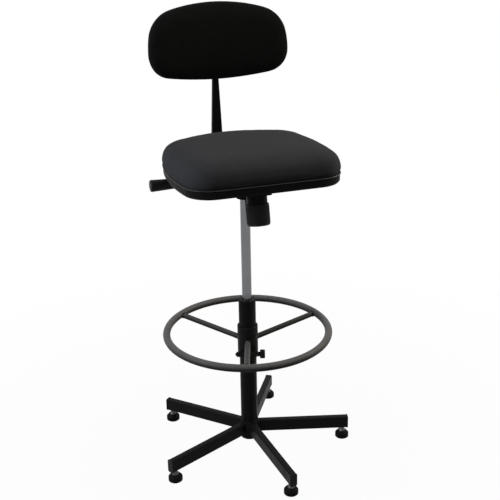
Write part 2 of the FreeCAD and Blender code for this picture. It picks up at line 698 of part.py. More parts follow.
spine_screw_spots = [first_spine_screw_y, first_spine_screw_y + SPINE_SCREW_PITCH]
spine_hole = SPINE_SCREW_DIAMETER + 2.0 * SLIDE_CLEARANCE
for y in spine_screw_spots:
    seat_plate = seat_plate.cut(disc(spine_hole, plate_z0, SEAT_BOTTOM_Z, 0.0, y))
seat_plate = seat_plate.removeSplitter()

# Tension spring in its cup, the anchor on the seat plate, the bolt and the knob
lean = math.radians(KNOB_LEAN)
cup_end = -CUP_DROP - CUP_INSERT
spring_cup = disc(CUP_DIAMETER, cup_end, FAR).cut(disc(cup_bore, cup_end + CUP_WALL, FAR))
spring_cup = spring_cup.cut(disc(BOLT_DIAMETER + 2.0 * SHAFT_CLEARANCE, cup_end, FAR))
below_floor = block(-FAR, FAR, -FAR, FAR, 0.0, HOUSING_FLOOR_Z)
spring_cup = on_knob_axis(spring_cup).common(below_floor)

seat_start = cup_end + CUP_WALL + SPRING_SEAT_GAP
spring_start = seat_start + SPRING_SEAT_THICKNESS
anchor_face = (plate_z0 - floor_top_z) / math.cos(lean) - SPRING_DIAMETER / 2.0 * math.tan(lean)
spring_end = anchor_face - SPRING_SEAT_THICKNESS
spring_core = SPRING_DIAMETER - SPRING_WIRE
plug_diameter = SPRING_DIAMETER - 2.0 * SPRING_WIRE - 2.0 * PLAY
tension_bolt = disc(BOLT_DIAMETER, -CUP_DROP - KNOB_LENGTH + KNOB_WALL, seat_start)
tension_bolt = tension_bolt.fuse(disc(SPRING_DIAMETER, seat_start, spring_start))
tension_bolt = tension_bolt.fuse(disc(plug_diameter, spring_start, spring_start + SPRING_PLUG_LENGTH))
tension_bolt = on_knob_axis(tension_bolt.removeSplitter())

anchor = disc(SPRING_DIAMETER, spring_end, FAR)
anchor = anchor.fuse(disc(plug_diameter, spring_end - SPRING_PLUG_LENGTH, spring_end))
under_plate = block(-FAR, FAR, -FAR, FAR, 0.0, plate_z0)
spring_anchor = on_knob_axis(anchor).common(under_plate).removeSplitter()

coil_start = spring_start + SPRING_WIRE / 2.0 + PLAY
coil_height = spring_end - SPRING_WIRE / 2.0 - PLAY - coil_start
coil_pitch = coil_height / SPRING_TURNS


def coil_point(turns):
    angle = 2.0 * math.pi * turns
    radius = spring_core / 2.0
    return point(radius * math.cos(angle), radius * math.sin(angle), coil_start + coil_pitch * turns)


coil_edges = []
for i in range(int(SPRING_TURNS / COIL_STEP)):
    start = i * COIL_STEP
    middle = start + COIL_STEP / 2.0
    coil_edges.append(arc(coil_point(start), coil_point(middle), coil_point(start + COIL_STEP)))
coil_path = Part.Wire(coil_edges)
coil_heading = coil_edges[0].tangentAt(coil_edges[0].FirstParameter)
wire_circle = Part.Circle(coil_point(0.0), coil_heading, SPRING_WIRE / 2.0)
tension_spring = coil_path.makePipeShell([Part.Wire(wire_circle.toShape())], True, False)
tension_spring = on_knob_axis(tension_spring)

knob_top = -CUP_DROP
knob_bottom = knob_top - KNOB_LENGTH
knob = disc(KNOB_DIAMETER, knob_bottom, knob_top)
knob = knob.makeFillet(KNOB_EDGE_RADIUS, rims_where(knob, lambda c: c.z < knob_bottom + 1.0))
knob_cup_floor = knob_top - KNOB_CUP_DEPTH
knob = knob.cut(disc(KNOB_DIAMETER - 2.0 * KNOB_WALL, knob_cup_floor, knob_top))
knob = knob.cut(disc(BOLT_DIAMETER + 2.0 * SHAFT_CLEARANCE, knob_bottom + KNOB_WALL - PLAY, knob_top))
tension_knob = on_knob_axis(knob)

# Height lever
lever_points = [
    point(LEVER_INNER_END_X, 0, lever_z),
    point(LEVER_FIRST_BEND_X, 0, lever_z),
    point(LEVER_SECOND_BEND_X, LEVER_Y, LEVER_Z),
    point(GRIP_OUTER_X + GRIP_END_WALL, LEVER_Y, LEVER_Z),
]
lever_rod = rod_along(lever_points, LEVER_BEND_RADIUS, LEVER_ROD_DIAMETER)
pin_half = LEVER_PIN_LENGTH / 2.0
lever_rod = lever_rod.fuse(bar_y(LEVER_PIN_DIAMETER, -pin_half, pin_half, lever_pivot_x, lever_z))
lever_rod = lever_rod.removeSplitter()
grip = Part.makeCone(
    GRIP_OUTER_DIAMETER / 2.0,
    GRIP_INNER_DIAMETER / 2.0,
    GRIP_INNER_X - GRIP_OUTER_X,
    point(GRIP_OUTER_X, LEVER_Y, LEVER_Z),
    X_AXIS,
)
grip = grip.makeFillet(GRIP_EDGE_RADIUS, rims_where(grip, lambda c: c.x < GRIP_OUTER_X + 1.0))
grip_bore_end = GRIP_OUTER_X + GRIP_END_WALL - PLAY
grip_bore = LEVER_ROD_DIAMETER + 2.0 * SHAFT_CLEARANCE
lever_grip = grip.cut(bar_x(grip_bore, grip_bore_end, GRIP_INNER_X, LEVER_Y, LEVER_Z))

# Seat shell, board and cushion
lip_z = SEAT_BOTTOM_Z + SHELL_HEIGHT
shell_sections = [
    (SHELL_FOOT_INSET, SEAT_BOTTOM_Z),
    (SHELL_SIDE_INSET, SEAT_BOTTOM_Z + SHELL_KNEE_HEIGHT),
    (SHELL_SIDE_INSET, lip_z - SHELL_LIP_HEIGHT),
    (0.0, lip_z - SHELL_LIP_HEIGHT / 2.0),
    (0.0, lip_z),
]
seat_shell = Part.makeLoft([seat_outline(inset, z) for inset, z in shell_sections], True, True)
shell_floor_z = SEAT_BOTTOM_Z + SHELL_WALL
inner_inset = SHELL_FOOT_INSET + SHELL_WALL
shell_bore = [
    seat_outline(inner_inset, shell_floor_z),
    seat_outline(SHELL_SIDE_INSET + SHELL_WALL, shell_floor_z + SHELL_KNEE_HEIGHT),
    seat_outline(SHELL_SIDE_INSET + SHELL_WALL, lip_z),
]
seat_shell = seat_shell.cut(Part.makeLoft(shell_bore, True, True))

board_bottom_z = shell_floor_z
board_top_z = board_bottom_z + BOARD_THICKNESS
board_outline = seat_outline(inner_inset + BOARD_MARGIN, board_bottom_z)
seat_board = Part.Face(board_outline).extrude(point(0, 0, BOARD_THICKNESS))
tee_nut_bottom_z = board_top_z - BOARD_THICKNESS * TEE_NUT_DEPTH_SHARE
tee_nut_top_z = board_top_z + TEE_NUT_FLANGE_THICKNESS
screw_end_z = tee_nut_top_z - PLAY
head_bottom_z = plate_z0 - SCREW_HEAD_HEIGHT
tee_nut_hole = TEE_NUT_DIAMETER + 2.0 * SHAFT_CLEARANCE
thread_bore = SCREW_DIAMETER + 2.0 * SHAFT_CLEARANCE
screws = []
tee_nuts = []
for x, y in screw_spots:
    seat_shell = seat_shell.cut(disc(screw_hole, SEAT_BOTTOM_Z, shell_floor_z, x, y))
    seat_board = seat_board.cut(disc(screw_hole, board_bottom_z, tee_nut_bottom_z, x, y))
    seat_board = seat_board.cut(disc(tee_nut_hole, tee_nut_bottom_z, board_top_z, x, y))
    screw = disc(SCREW_DIAMETER, plate_z0, screw_end_z, x, y)
    screws.append(screw.fuse(disc(SCREW_HEAD_DIAMETER, head_bottom_z, plate_z0, x, y)).removeSplitter())
    tee_nut = disc(TEE_NUT_DIAMETER, tee_nut_bottom_z + PLAY, board_top_z, x, y)
    tee_nut = tee_nut.fuse(disc(TEE_NUT_FLANGE_DIAMETER, board_top_z, tee_nut_top_z, x, y))
    tee_nut = tee_nut.cut(disc(thread_bore, SEAT_BOTTOM_Z, FAR + SEAT_BOTTOM_Z, x, y))
    tee_nuts.append(tee_nut.removeSplitter())

cushion_foot_z = tee_nut_top_z + PLAY
cushion_inset = SHELL_SIDE_INSET + SHELL_WALL + PLAY
cushion_sections = [
    (cushion_inset + 2.0 * BOARD_MARGIN, cushion_foot_z),
    (cushion_inset, lip_z),
    (-CUSHION_SWELL, lip_z + CUSHION_RISE * CUSHION_SWELL_HEIGHT),
]
for drawn_in, height in CUSHION_PROFILE:
    cushion_sections.append((CUSHION_RISE * drawn_in, lip_z + CUSHION_RISE * height))
seat_cushion = Part.makeLoft([seat_outline(inset, z) for inset, z in cushion_sections], True, True)

# Spine: a bent bar, tapered in front view
spine_front_y = SPINE_Y - SPINE_DEPTH / 2.0
spine_rear_y = SPINE_Y + SPINE_DEPTH / 2.0
arm_top_z = plate_z0
arm_bottom_z = plate_z0 - SPINE_DEPTH
bend_y = spine_front_y - SPINE_INNER_BEND
bend_z = arm_top_z + SPINE_INNER_BEND
outer_bend = SPINE_INNER_BEND + SPINE_DEPTH
diagonal = math.sqrt(0.5)
spine_side = Part.Wire([
    line(point(0, SPINE_ARM_FRONT_Y, arm_bottom_z), point(0, bend_y, arm_bottom_z)),
    arc(
        point(0, bend_y, arm_bottom_z),
        point(0, bend_y + outer_bend * diagonal, bend_z - outer_bend * diagonal),
        point(0, spine_rear_y, bend_z),
    ),
    line(point(0, spine_rear_y, bend_z), point(0, spine_rear_y, SPINE_TOP_Z)),
    line(point(0, spine_rear_y, SPINE_TOP_Z), point(0, spine_front_y, SPINE_TOP_Z)),
    line(point(0, spine_front_y, SPINE_TOP_Z), point(0, spine_front_y, bend_z)),
    arc(
        point(0, spine_front_y, bend_z),
        point(0, bend_y + SPINE_INNER_BEND * diagonal, bend_z - SPINE_INNER_BEND * diagonal),
        point(0, bend_y, arm_top_z),
    ),
    line(point(0, bend_y, arm_top_z), point(0, SPINE_ARM_FRONT_Y, arm_top_z)),
    line(point(0, SPINE_ARM_FRONT_Y, arm_top_z), point(0, SPINE_ARM_FRONT_Y, arm_bottom_z)),
])
spine = Part.Face(spine_side).extrude(point(SPINE_FOOT_WIDTH * 2.0, 0, 0))
spine.translate(point(-SPINE_FOOT_WIDTH, 0, 0))
foot_half = SPINE_FOOT_WIDTH / 2.0
top_half = SPINE_TOP_WIDTH / 2.0
spine_front = [
    point(-foot_half, 0, arm_bottom_z),
    point(foot_half, 0, arm_bottom_z),
    point(foot_half, 0, SPINE_TAPER_START_Z),
    point(top_half, 0, SPINE_TAPER_END_Z),
    point(top_half, 0, SPINE_TOP_Z),
    point(-top_half, 0, SPINE_TOP_Z),
    point(-top_half, 0, SPINE_TAPER_END_Z),
    point(-foot_half, 0, SPINE_TAPER_START_Z),
]
spine = spine.common(Part.Face(Part.makePolygon(spine_front + [spine_front[0]])).extrude(point(0, FAR, 0)))


def on_spine_corner(edge):
    # True for the long edges where the spine's sides meet its front and rear
    box = edge.BoundBox
    runs_along = box.YLength + box.ZLength > box.XLength and box.XLength < foot_half
    beside = abs(edge.CenterOfMass.x) > top_half - 1.0
    return runs_along and beside and edge.Length > SPINE_DEPTH + 1.0


spine = spine.makeFillet(SPINE_EDGE_RADIUS, [e for e in spine.Edges if on_spine_corner(e)])
spine_screws = []
for y in spine_screw_spots:
    spine = spine.cut(disc(spine_hole, arm_bottom_z, arm_top_z, 0.0, y))
    shank = disc(SPINE_SCREW_DIAMETER, arm_bottom_z, SEAT_BOTTOM_Z - PLAY, 0.0, y)
    head = disc(SPINE_SCREW_HEAD_DIAMETER, arm_bottom_z - SPINE_SCREW_HEAD_HEIGHT, arm_bottom_z, 0.0, y)
    spine_screws.append(shank.fuse(head).removeSplitter())

# Backrest, built upright about its own centre with a vertical curve axis in front of it
curve_centre = point(0, -BACK_CURVE_RADIUS, 0)
board_front = PAD_REAR_DEPTH + PLAY
board_rear = board_front + BACK_BOARD_THICKNESS
spread = math.degrees(math.asin((BACK_BOTTOM_HALF + BACK_SHELL_DEPTH) / BACK_CURVE_RADIUS))


def curved_layer(rear, front_edge, front_middle):
    # Slab that curves round the sitter: flat-sided at the rear depth, crowned towards the front
    half = BACK_HALF_HEIGHT + PAD_CROWN
    profile = [
        line(point(0, rear, -half), point(0, rear, half)),
        line(point(0, rear, half), point(0, front_edge, half)),
        arc(point(0, front_edge, half), point(0, front_middle, 0), point(0, front_edge, -half)),
        line(point(0, front_edge, -half), point(0, rear, -half)),
    ]
    face = Part.Face(Part.Wire(profile))
    face.rotate(curve_centre, Z_AXIS, -spread)
    return face.revolve(curve_centre, Z_AXIS, 2.0 * spread)


def flat_layer(front, rear):
    half = BACK_HALF_HEIGHT + PAD_CROWN
    profile = [point(0, front, -half), point(0, rear, -half), point(0, rear, half), point(0, front, half)]
    face = Part.Face(Part.makePolygon(profile + [profile[0]]))
    face.rotate(curve_centre, Z_AXIS, -spread)
    return face.revolve(curve_centre, Z_AXIS, 2.0 * spread)


def back_prism(inset):
    prism = Part.Face(back_outline(inset)).extrude(point(0, 2.0 * FAR, 0))
    prism.translate(point(0, -FAR, 0))
    return prism


def leaned(shape):
    copy = shape.copy()
    copy.rotate(ORIGIN, X_AXIS, -BACK_LEAN)
    copy.translate(point(0, BACK_Y, BACK_Z))
    return copy


def broad_rim(shape, rear):
    # Outline edges of the broad front or rear face of a curved layer
    broad = sorted(shape.Faces, key=lambda f: f.Area)[-2:]
    broad.sort(key=lambda f: f.CenterOfMass.y)
    return broad[-1 if rear else 0].OuterWire.Edges


# The pad wraps the edge of the board, which sits in a pocket of it
pad = curved_layer(board_rear, -PAD_EDGE_CROWN, -PAD_CROWN).common(back_prism(0.0))
pad = pad.makeFillet(PAD_FRONT_ROUND, broad_rim(pad, False))
board_pocket = flat_layer(PAD_REAR_DEPTH, board_rear + PLAY).common(back_prism(BACK_BOARD_MARGIN - PLAY))
back_pad = leaned(pad.cut(board_pocket))
board = flat_layer(board_front, board_rear).common(back_prism(BACK_BOARD_MARGIN))
back_board = leaned(board)

shell_start = board_rear + PLAY
shell_outer = curved_layer(shell_start, shell_start + BACK_SHELL_EDGE_DEPTH, shell_start + BACK_SHELL_DEPTH)
shell_outer = shell_outer.common(back_prism(BACK_SHELL_MARGIN))
shell_outer = shell_outer.makeFillet(BACK_SHELL_ROUND, broad_rim(shell_outer, True))
shell_inner = curved_layer(
    shell_start - PLAY,
    shell_start + BACK_SHELL_EDGE_DEPTH - BACK_SHELL_WALL,
    shell_start + BACK_SHELL_DEPTH - BACK_SHELL_WALL,
)
shell_inner = shell_inner.common(back_prism(BACK_SHELL_MARGIN + BACK_SHELL_WALL))
shell_inner = shell_inner.makeFillet(BACK_SHELL_ROUND - BACK_SHELL_WALL, broad_rim(shell_inner, True))
back_shell = leaned(shell_outer.cut(shell_inner))

# The guide on the board that slides on the spine, and the clamp knob behind it
guide_half = GUIDE_WIDTH / 2.0
guide_rear_y = spine_rear_y + SLIDE_CLEARANCE + GUIDE_WALL
slot_front_y = spine_front_y - GUIDE_WALL
slot_bottom_z = BACK_Z - 2.0 * BACK_HALF_HEIGHT
slot_half = guide_half + PLAY
slot_rear_y = guide_rear_y + PLAY
slot_top_z = GUIDE_TOP_Z + PLAY
guide_slot = block(-slot_half, slot_half, slot_front_y, slot_rear_y, slot_bottom_z, slot_top_z)
back_shell = back_shell.cut(guide_slot)
guide = block(-guide_half, guide_half, BACK_Y - BACK_SHELL_DEPTH, guide_rear_y, GUIDE_BOTTOM_Z, GUIDE_TOP_Z)
foot_start = board_rear + SHAFT_CLEARANCE
behind_board = leaned(flat_layer(foot_start, board_rear + FAR))
foot_plate = block(-GUIDE_FOOT_WIDTH / 2.0, GUIDE_FOOT_WIDTH / 2.0, -FAR, FAR, GUIDE_BOTTOM_Z, GUIDE_TOP_Z)
foot_plate = foot_plate.common(leaned(flat_layer(foot_start, foot_start + GUIDE_FOOT_THICKNESS)))
guide = guide.common(behind_board).fuse(foot_plate)
guide = guide.cut(block(
    -top_half - SLIDE_CLEARANCE,
    top_half + SLIDE_CLEARANCE,
    spine_front_y - SLIDE_CLEARANCE,
    spine_rear_y + SLIDE_CLEARANCE,
    GUIDE_BOTTOM_Z,
    GUIDE_TOP_Z,
))
screw_bore = CLAMP_SCREW_DIAMETER + 2.0 * SHAFT_CLEARANCE
guide = guide.cut(bar_y(screw_bore, SPINE_Y, SPINE_Y + FAR, 0.0, BACK_KNOB_Z))
stem_hole = BACK_KNOB_STEM_DIAMETER + 2.0 * BACK_KNOB_GAP
back_shell = back_shell.cut(bar_y(stem_hole, SPINE_Y, SPINE_Y + FAR, 0.0, BACK_KNOB_Z))

screw_x = (GUIDE_FOOT_WIDTH + GUIDE_WIDTH) / 4.0
screw_sag = BACK_CURVE_RADIUS - math.sqrt(BACK_CURVE_RADIUS ** 2 - screw_x ** 2)
screw_y = board_rear + GUIDE_FOOT_THICKNESS - screw_sag
shank_hole = BACK_SCREW_DIAMETER + 2.0 * SHAFT_CLEARANCE
head_hole = BACK_SCREW_HEAD_DIAMETER + 2.0 * SHAFT_CLEARANCE
back_screws = []
for x in (-screw_x, screw_x):
    for z in (GUIDE_BOTTOM_Z + BACK_SCREW_EDGE, GUIDE_TOP_Z - BACK_SCREW_EDGE):
        local_z = (z - BACK_Z) / math.cos(math.radians(BACK_LEAN))
        shank = bar_y(BACK_SCREW_DIAMETER, screw_y - BACK_SCREW_LENGTH, screw_y, x, local_z)
        head = bar_y(BACK_SCREW_HEAD_DIAMETER, screw_y, screw_y + BACK_SCREW_HEAD_HEIGHT, x, local_z)
        back_screws.append(leaned(shank.fuse(head).removeSplitter()))
        hole = bar_y(shank_hole, screw_y - BACK_SCREW_LENGTH - PLAY, screw_y, x, local_z)
        hole = hole.fuse(bar_y(head_hole, screw_y, screw_y + BACK_SCREW_LENGTH, x, local_z))
        guide = guide.cut(leaned(hole))
        back_board = back_board.cut(leaned(hole))
back_guide = guide.removeSplitter()

shell_rear_y = back_shell.BoundBox.YMax
knob_face_y = shell_rear_y + BACK_KNOB_GAP
back_knob = star_knob(BACK_KNOB_DIAMETER, BACK_KNOB_LENGTH, BACK_KNOB_LOBES, BACK_KNOB_LOBE_RADIUS)
back_knob = back_knob.makeFillet(BACK_KNOB_LENGTH * BACK_KNOB_EDGE_SHARE, end_edges(back_knob))
back_knob.rotate(ORIGIN, X_AXIS, -90)
back_knob.translate(point(0, knob_face_y, BACK_KNOB_Z))
stem_start_y = knob_face_y - BACK_KNOB_STEM_LENGTH
back_knob = back_knob.fuse(bar_y(BACK_KNOB_STEM_DIAMETER, stem_start_y, knob_face_y, 0.0, BACK_KNOB_Z))
screw_tip_y = spine_rear_y + SLIDE_CLEARANCE
back_knob = back_knob.fuse(bar_y(CLAMP_SCREW_DIAMETER, screw_tip_y, stem_start_y, 0.0, BACK_KNOB_Z))
back_knob = back_knob.removeSplitter()

# Foot ring: ring tube, spokes, split sleeve with its clamp
sleeve_bore = STAND_DIAMETER + 2.0 * SLIDE_CLEARANCE
ring_outer = Part.makeTorus(RING_RADIUS, RING_TUBE_DIAMETER / 2.0, point(0, 0, RING_Z))
ring_bore = Part.makeTorus(RING_RADIUS, RING_TUBE_DIAMETER / 2.0 - RING_TUBE_WALL, point(0, 0, RING_Z))
ring_tube = ring_outer.cut(ring_bore)
spoke_rise = RING_Z - SPOKE_ROOT_Z
spoke_run = point(RING_RADIUS, 0, spoke_rise)
spoke_from = point(0, 0, SPOKE_ROOT_Z)
spoke = Part.makeCylinder(SPOKE_DIAMETER / 2.0, spoke_run.Length, spoke_from, spoke_run)
spoke_bore = SPOKE_DIAMETER / 2.0 - SPOKE_WALL
spoke = spoke.cut(Part.makeCylinder(spoke_bore, spoke_run.Length, spoke_from, spoke_run))
ring_space = RING_TUBE_DIAMETER / 2.0 + SHAFT_CLEARANCE
spoke = spoke.cut(Part.makeTorus(RING_RADIUS, ring_space, point(0, 0, RING_Z)))
spoke = spoke.cut(disc(SLEEVE_DIAMETER + 2.0 * SHAFT_CLEARANCE, SLEEVE_BOTTOM_Z, SLEEVE_TOP_Z))
spoke = max(spoke.Solids, key=lambda s: s.Volume)
spoke_angles = [-90.0 + RING_TURN + 360.0 * i / SPOKE_COUNT for i in range(SPOKE_COUNT)]
ring_spokes = Part.makeCompound([turned(spoke, angle) for angle in spoke_angles])

sleeve = disc(SLEEVE_DIAMETER, SLEEVE_BOTTOM_Z, SLEEVE_TOP_Z)
sleeve = sleeve.makeChamfer(SLEEVE_TOP_CHAMFER, rims_where(sleeve, lambda c: c.z > SLEEVE_TOP_Z - 1.0))
barrel = bar_x(BARREL_DIAMETER, -BARREL_HALF_LENGTH, BARREL_HALF_LENGTH, -CLAMP_BOLT_REACH, BARREL_Z)
sleeve = sleeve.fuse(barrel)
barrel_bottom_z = BARREL_Z - BARREL_DIAMETER / 2.0
sleeve = sleeve.cut(disc(sleeve_bore, barrel_bottom_z, SLEEVE_TOP_Z))
slit_half = SLIT_WIDTH / 2.0
slit_top_z = SLEEVE_BOTTOM_Z + SLIT_HEIGHT
sleeve = sleeve.cut(block(-slit_half, slit_half, -SLEEVE_DIAMETER, 0.0, barrel_bottom_z, slit_top_z))
bolt_hole = CLAMP_BOLT_DIAMETER + 2.0 * SLIDE_CLEARANCE
sleeve = sleeve.cut(bar_x(bolt_hole, -FAR, FAR, -CLAMP_BOLT_REACH, BARREL_Z)).removeSplitter()
ring_sleeve = turned(sleeve, RING_TURN)

nut_end_x = -BARREL_HALF_LENGTH - CLAMP_NUT_THICKNESS
hex_radius = CLAMP_NUT_ACROSS / math.sqrt(3.0)
hex_points = []
for i in range(6):
    angle = math.pi * i / 3.0
    corner_y = hex_radius * math.cos(angle) - CLAMP_BOLT_REACH
    corner_z = hex_radius * math.sin(angle) + BARREL_Z
    hex_points.append(point(nut_end_x, corner_y, corner_z))
nut = Part.Face(Part.makePolygon(hex_points + [hex_points[0]])).extrude(point(CLAMP_NUT_THICKNESS, 0, 0))
nut = nut.cut(bar_x(CLAMP_BOLT_DIAMETER + 2.0 * SHAFT_CLEARANCE, -FAR, FAR, -CLAMP_BOLT_REACH, BARREL_Z))
clamp_nut = turned(nut, RING_TURN)

ring_stem_x = BARREL_HALF_LENGTH + PLAY
ring_knob_x = ring_stem_x + RING_KNOB_STEM_LENGTH
bolt_end_x = ring_knob_x + RING_KNOB_LENGTH / 2.0
bolt_tip_x = nut_end_x - CLAMP_BOLT_SPARE
clamp_bolt = bar_x(CLAMP_BOLT_DIAMETER, bolt_tip_x, bolt_end_x, -CLAMP_BOLT_REACH, BARREL_Z)
clamp_bolt = turned(clamp_bolt, RING_TURN)
knob = star_knob(RING_KNOB_DIAMETER, RING_KNOB_LENGTH, RING_KNOB_LOBES, RING_KNOB_LOBE_RADIUS)
knob = knob.makeFillet(RING_KNOB_LENGTH * RING_KNOB_EDGE_SHARE, end_edges(knob))
knob.rotate(ORIGIN, Y_AXIS, 90)
knob.translate(point(ring_knob_x, -CLAMP_BOLT_REACH, BARREL_Z))
knob = knob.fuse(bar_x(RING_KNOB_STEM_DIAMETER, ring_stem_x, ring_knob_x, -CLAMP_BOLT_REACH, BARREL_Z))
knob_bore = CLAMP_BOLT_DIAMETER + 2.0 * SHAFT_CLEARANCE
knob = knob.cut(bar_x(knob_bore, 0.0, bolt_end_x + PLAY, -CLAMP_BOLT_REACH, BARREL_Z))
ring_knob = turned(knob.removeSplitter(), RING_TURN)

# Every piece, by the name of its node
pieces = {
    "hub_tube": tube(HUB_DIAMETER, hub_bore, HUB_BOTTOM_Z, hub_top_z),
    "arm_end_caps": Part.makeCompound([turned(cap, angle) for angle in arm_angles]),
    "glide_sockets": Part.makeCompound([turned(socket, angle) for angle in arm_angles]),
    "stand_tube": stand_tube,
    "guide_bush": guide_bush,
    "bottom_plate": bottom_plate,
    "piston_rod": piston_rod,
    "piston": piston,
    "thrust_bearing": thrust_bearing,
    "rubber_buffer": rubber_buffer,
    "rod_clip": rod_clip,
    "gas_cylinder": gas_cylinder,
    "rod_guide": rod_guide,
    "taper_socket": taper_socket,
    "tilt_housing": housing,
    "spring_cup": spring_cup,
    "axle_bushes": axle_bushes,
    "release_pin": release_pin,
    "lever_rod": lever_rod,
    "lever_grip": lever_grip,
    "tension_knob": tension_knob,
    "tension_bolt": tension_bolt,
    "tension_spring": tension_spring,
    "tilt_axle": tilt_axle,
    "seat_plate": seat_plate,
    "spring_anchor": spring_anchor,
    "seat_board": seat_board,
    "seat_shell": seat_shell,
    "seat_cushion": seat_cushion,
    "seat_screws": Part.makeCompound(screws),
    "tee_nuts": Part.makeCompound(tee_nuts),
    "spine": spine,
    "spine_screws": Part.makeCompound(spine_screws),
    "back_board": back_board,
    "back_pad": back_pad,
    "back_shell": back_shell,
    "back_guide": back_guide,
    "back_screws": Part.makeCompound(back_screws),
    "back_knob": back_knob,
    "ring_tube": ring_tube,
    "ring_spokes": ring_spokes,
    "ring_sleeve": ring_sleeve,
    "clamp_nut": clamp_nut,
    "clamp_bolt": clamp_bolt,
    "ring_knob": ring_knob,
}
foot.translate(point(GLIDE_CIRCLE_RADIUS, 0, 0))
stem.translate(point(GLIDE_CIRCLE_RADIUS, 0, 0))
for number, angle in enumerate(arm_angles, start=1):
    pieces["arm_%d" % number] = turned(arm, angle)
    pieces["glide_foot_%d" % number] = turned(foot, angle)
    pieces["glide_stem_%d" % number] = turned(stem, angle)

os.makedirs("parts", exist_ok=True)
for name, shape in pieces.items():
    save(shape, name)
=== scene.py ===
import json
import math

import bmesh
import bpy
from mathutils import Matrix, Vector
from mathutils.geometry import convex_hull_2d


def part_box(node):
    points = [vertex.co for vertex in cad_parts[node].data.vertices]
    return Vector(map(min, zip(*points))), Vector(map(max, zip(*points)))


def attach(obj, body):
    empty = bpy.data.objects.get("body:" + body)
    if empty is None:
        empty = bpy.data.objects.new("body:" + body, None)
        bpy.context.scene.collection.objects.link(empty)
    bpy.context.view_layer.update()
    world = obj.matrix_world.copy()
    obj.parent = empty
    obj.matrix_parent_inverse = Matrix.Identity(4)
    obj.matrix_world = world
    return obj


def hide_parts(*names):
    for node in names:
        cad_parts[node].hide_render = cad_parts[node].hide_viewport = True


# Looks of a high swivel work chair: upholstery, finishes, weld beads, knob ribs, light and camera.
# Metres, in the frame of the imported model: floor at z = 0, column axis at x = y = 0, sitter looks along -Y.

# Camera of the photograph
CAMERA_PLACE = Vector((-0.7517, -2.2466, 1.5127))
CAMERA_HEADING = math.radians(18.778)
CAMERA_PITCH = math.radians(20.374)
CAMERA_ROLL = math.radians(-1.091)
CAMERA_LENS = 64.0
CAMERA_SENSOR = 36.0

# Upholstery in general
OUTLINE_STEPS = 160
OUTLINE_SLACK = 1e-6
NEARLY_PARALLEL = 1e-12
CROWN_RINGS = 10
# Shares of the outline under which a crown ring has half as many points as the one outside it
THINNED_AT = (0.65, 0.35, 0.15)
CLOTH_PRESSURE = 4.0
CLOTH_FRAMES = 20
CLOTH_QUALITY = 5
SMOOTH_STEPS = 2
SMOOTH_SHARE = 0.5

# Seat cover, as pairs of how far it is drawn in from the shell's outline and its height over the lip
SEAT_SIDE = [
    (0.0060, -0.0060),
    (0.0045, 0.0004),
    (0.0010, 0.0014),
    (-0.0014, 0.0040),
    (-0.0034, 0.0085),
    (-0.0042, 0.0135),
    (-0.0038, 0.0195),
    (-0.0024, 0.0260),
    (0.0000, 0.0335),
    (0.0032, 0.0405),
    (0.0082, 0.0470),
    (0.0150, 0.0525),
    (0.0250, 0.0572),
    (0.0390, 0.0612),
    (0.0580, 0.0640),
    (0.0800, 0.0656),
]
SEAT_CROWN = 0.0672
SEAT_SHRINK = 0.0016
SEAT_SWELL = 0.0020
SEAT_HELD = 0.0010

# Backrest cover, as pairs of how far it is drawn in from the pad's outline and its depth behind its curve
BACK_PLACE = Vector((0.0, 0.224, 1.192))
BACK_LEAN = math.radians(4.0)
BACK_CURVE = 0.9
BACK_HALF_HEIGHT = 0.108
BACK_SIDE = [
    (0.0060, 0.0102),
    (0.0030, 0.0102),
    (0.0008, 0.0101),
    (-0.0008, 0.0090),
    (-0.0020, 0.0065),
    (-0.0024, 0.0030),
    (-0.0024, -0.0030),
    (-0.0012, -0.0085),
    (0.0012, -0.0138),
    (0.0050, -0.0184),
    (0.0104, -0.0222),
    (0.0175, -0.0251),
    (0.0275, -0.0273),
    (0.0400, -0.0290),
]
BACK_CROWN = -0.0316
BACK_FLATTENING = 0.19
BACK_SHRINK = 0.0012
BACK_SWELL = 0.0016
BACK_HELD = 0.0080

# Trim on the seat shell's lip
PIPING_RADIUS = 0.0012
PIPING_INSET = 0.0008

# Foot ring and base places that the weld beads follow
RING_TURN = math.radians(-19.5)
RING_RADIUS = 0.2373
RING_Z = 0.3816
RING_TUBE_RADIUS = 0.0107
SPOKE_COUNT = 3
SPOKE_RADIUS = 0.008
SPOKE_ROOT_Z = 0.350
SLEEVE_RADIUS = 0.030
ARM_COUNT = 5
ARM_TURN = math.radians(4.6)
ARM_HALF_WIDTH = 0.010
ARM_HALF_HEIGHT = 0.019
ARM_ROOT_Z = 0.062
ARM_FALL = 0.0102 / 0.3015
HUB_RADIUS = 0.027
HUB_TOP_Z = 0.084
STAND_RADIUS = 0.025
BEAD_RADIUS = 0.0018
BEAD_STEP = 0.0022
BEAD_RIPPLE = 0.14
BEAD_SIDES = 8
LEAST_RIPPLES = 6
POINTS_PER_RIPPLE = 4

# Tension knob
KNOB_POINT = Vector((0.0, -0.097, 0.831))
KNOB_LEAN = math.radians(11.0)
KNOB_RADIUS = 0.0315
KNOB_RIB_TOP = -0.036
KNOB_RIB_BOTTOM = -0.083
KNOB_RIB_RADIUS = 0.0008
KNOB_RIB_RUN_OUT = 0.002
KNOB_RIB_END_SHARE = 0.4
KNOB_RIB_HEIGHT_SHARE = 0.6
KNOB_RIB_SIDES = 8
KNOB_RIBS = 44

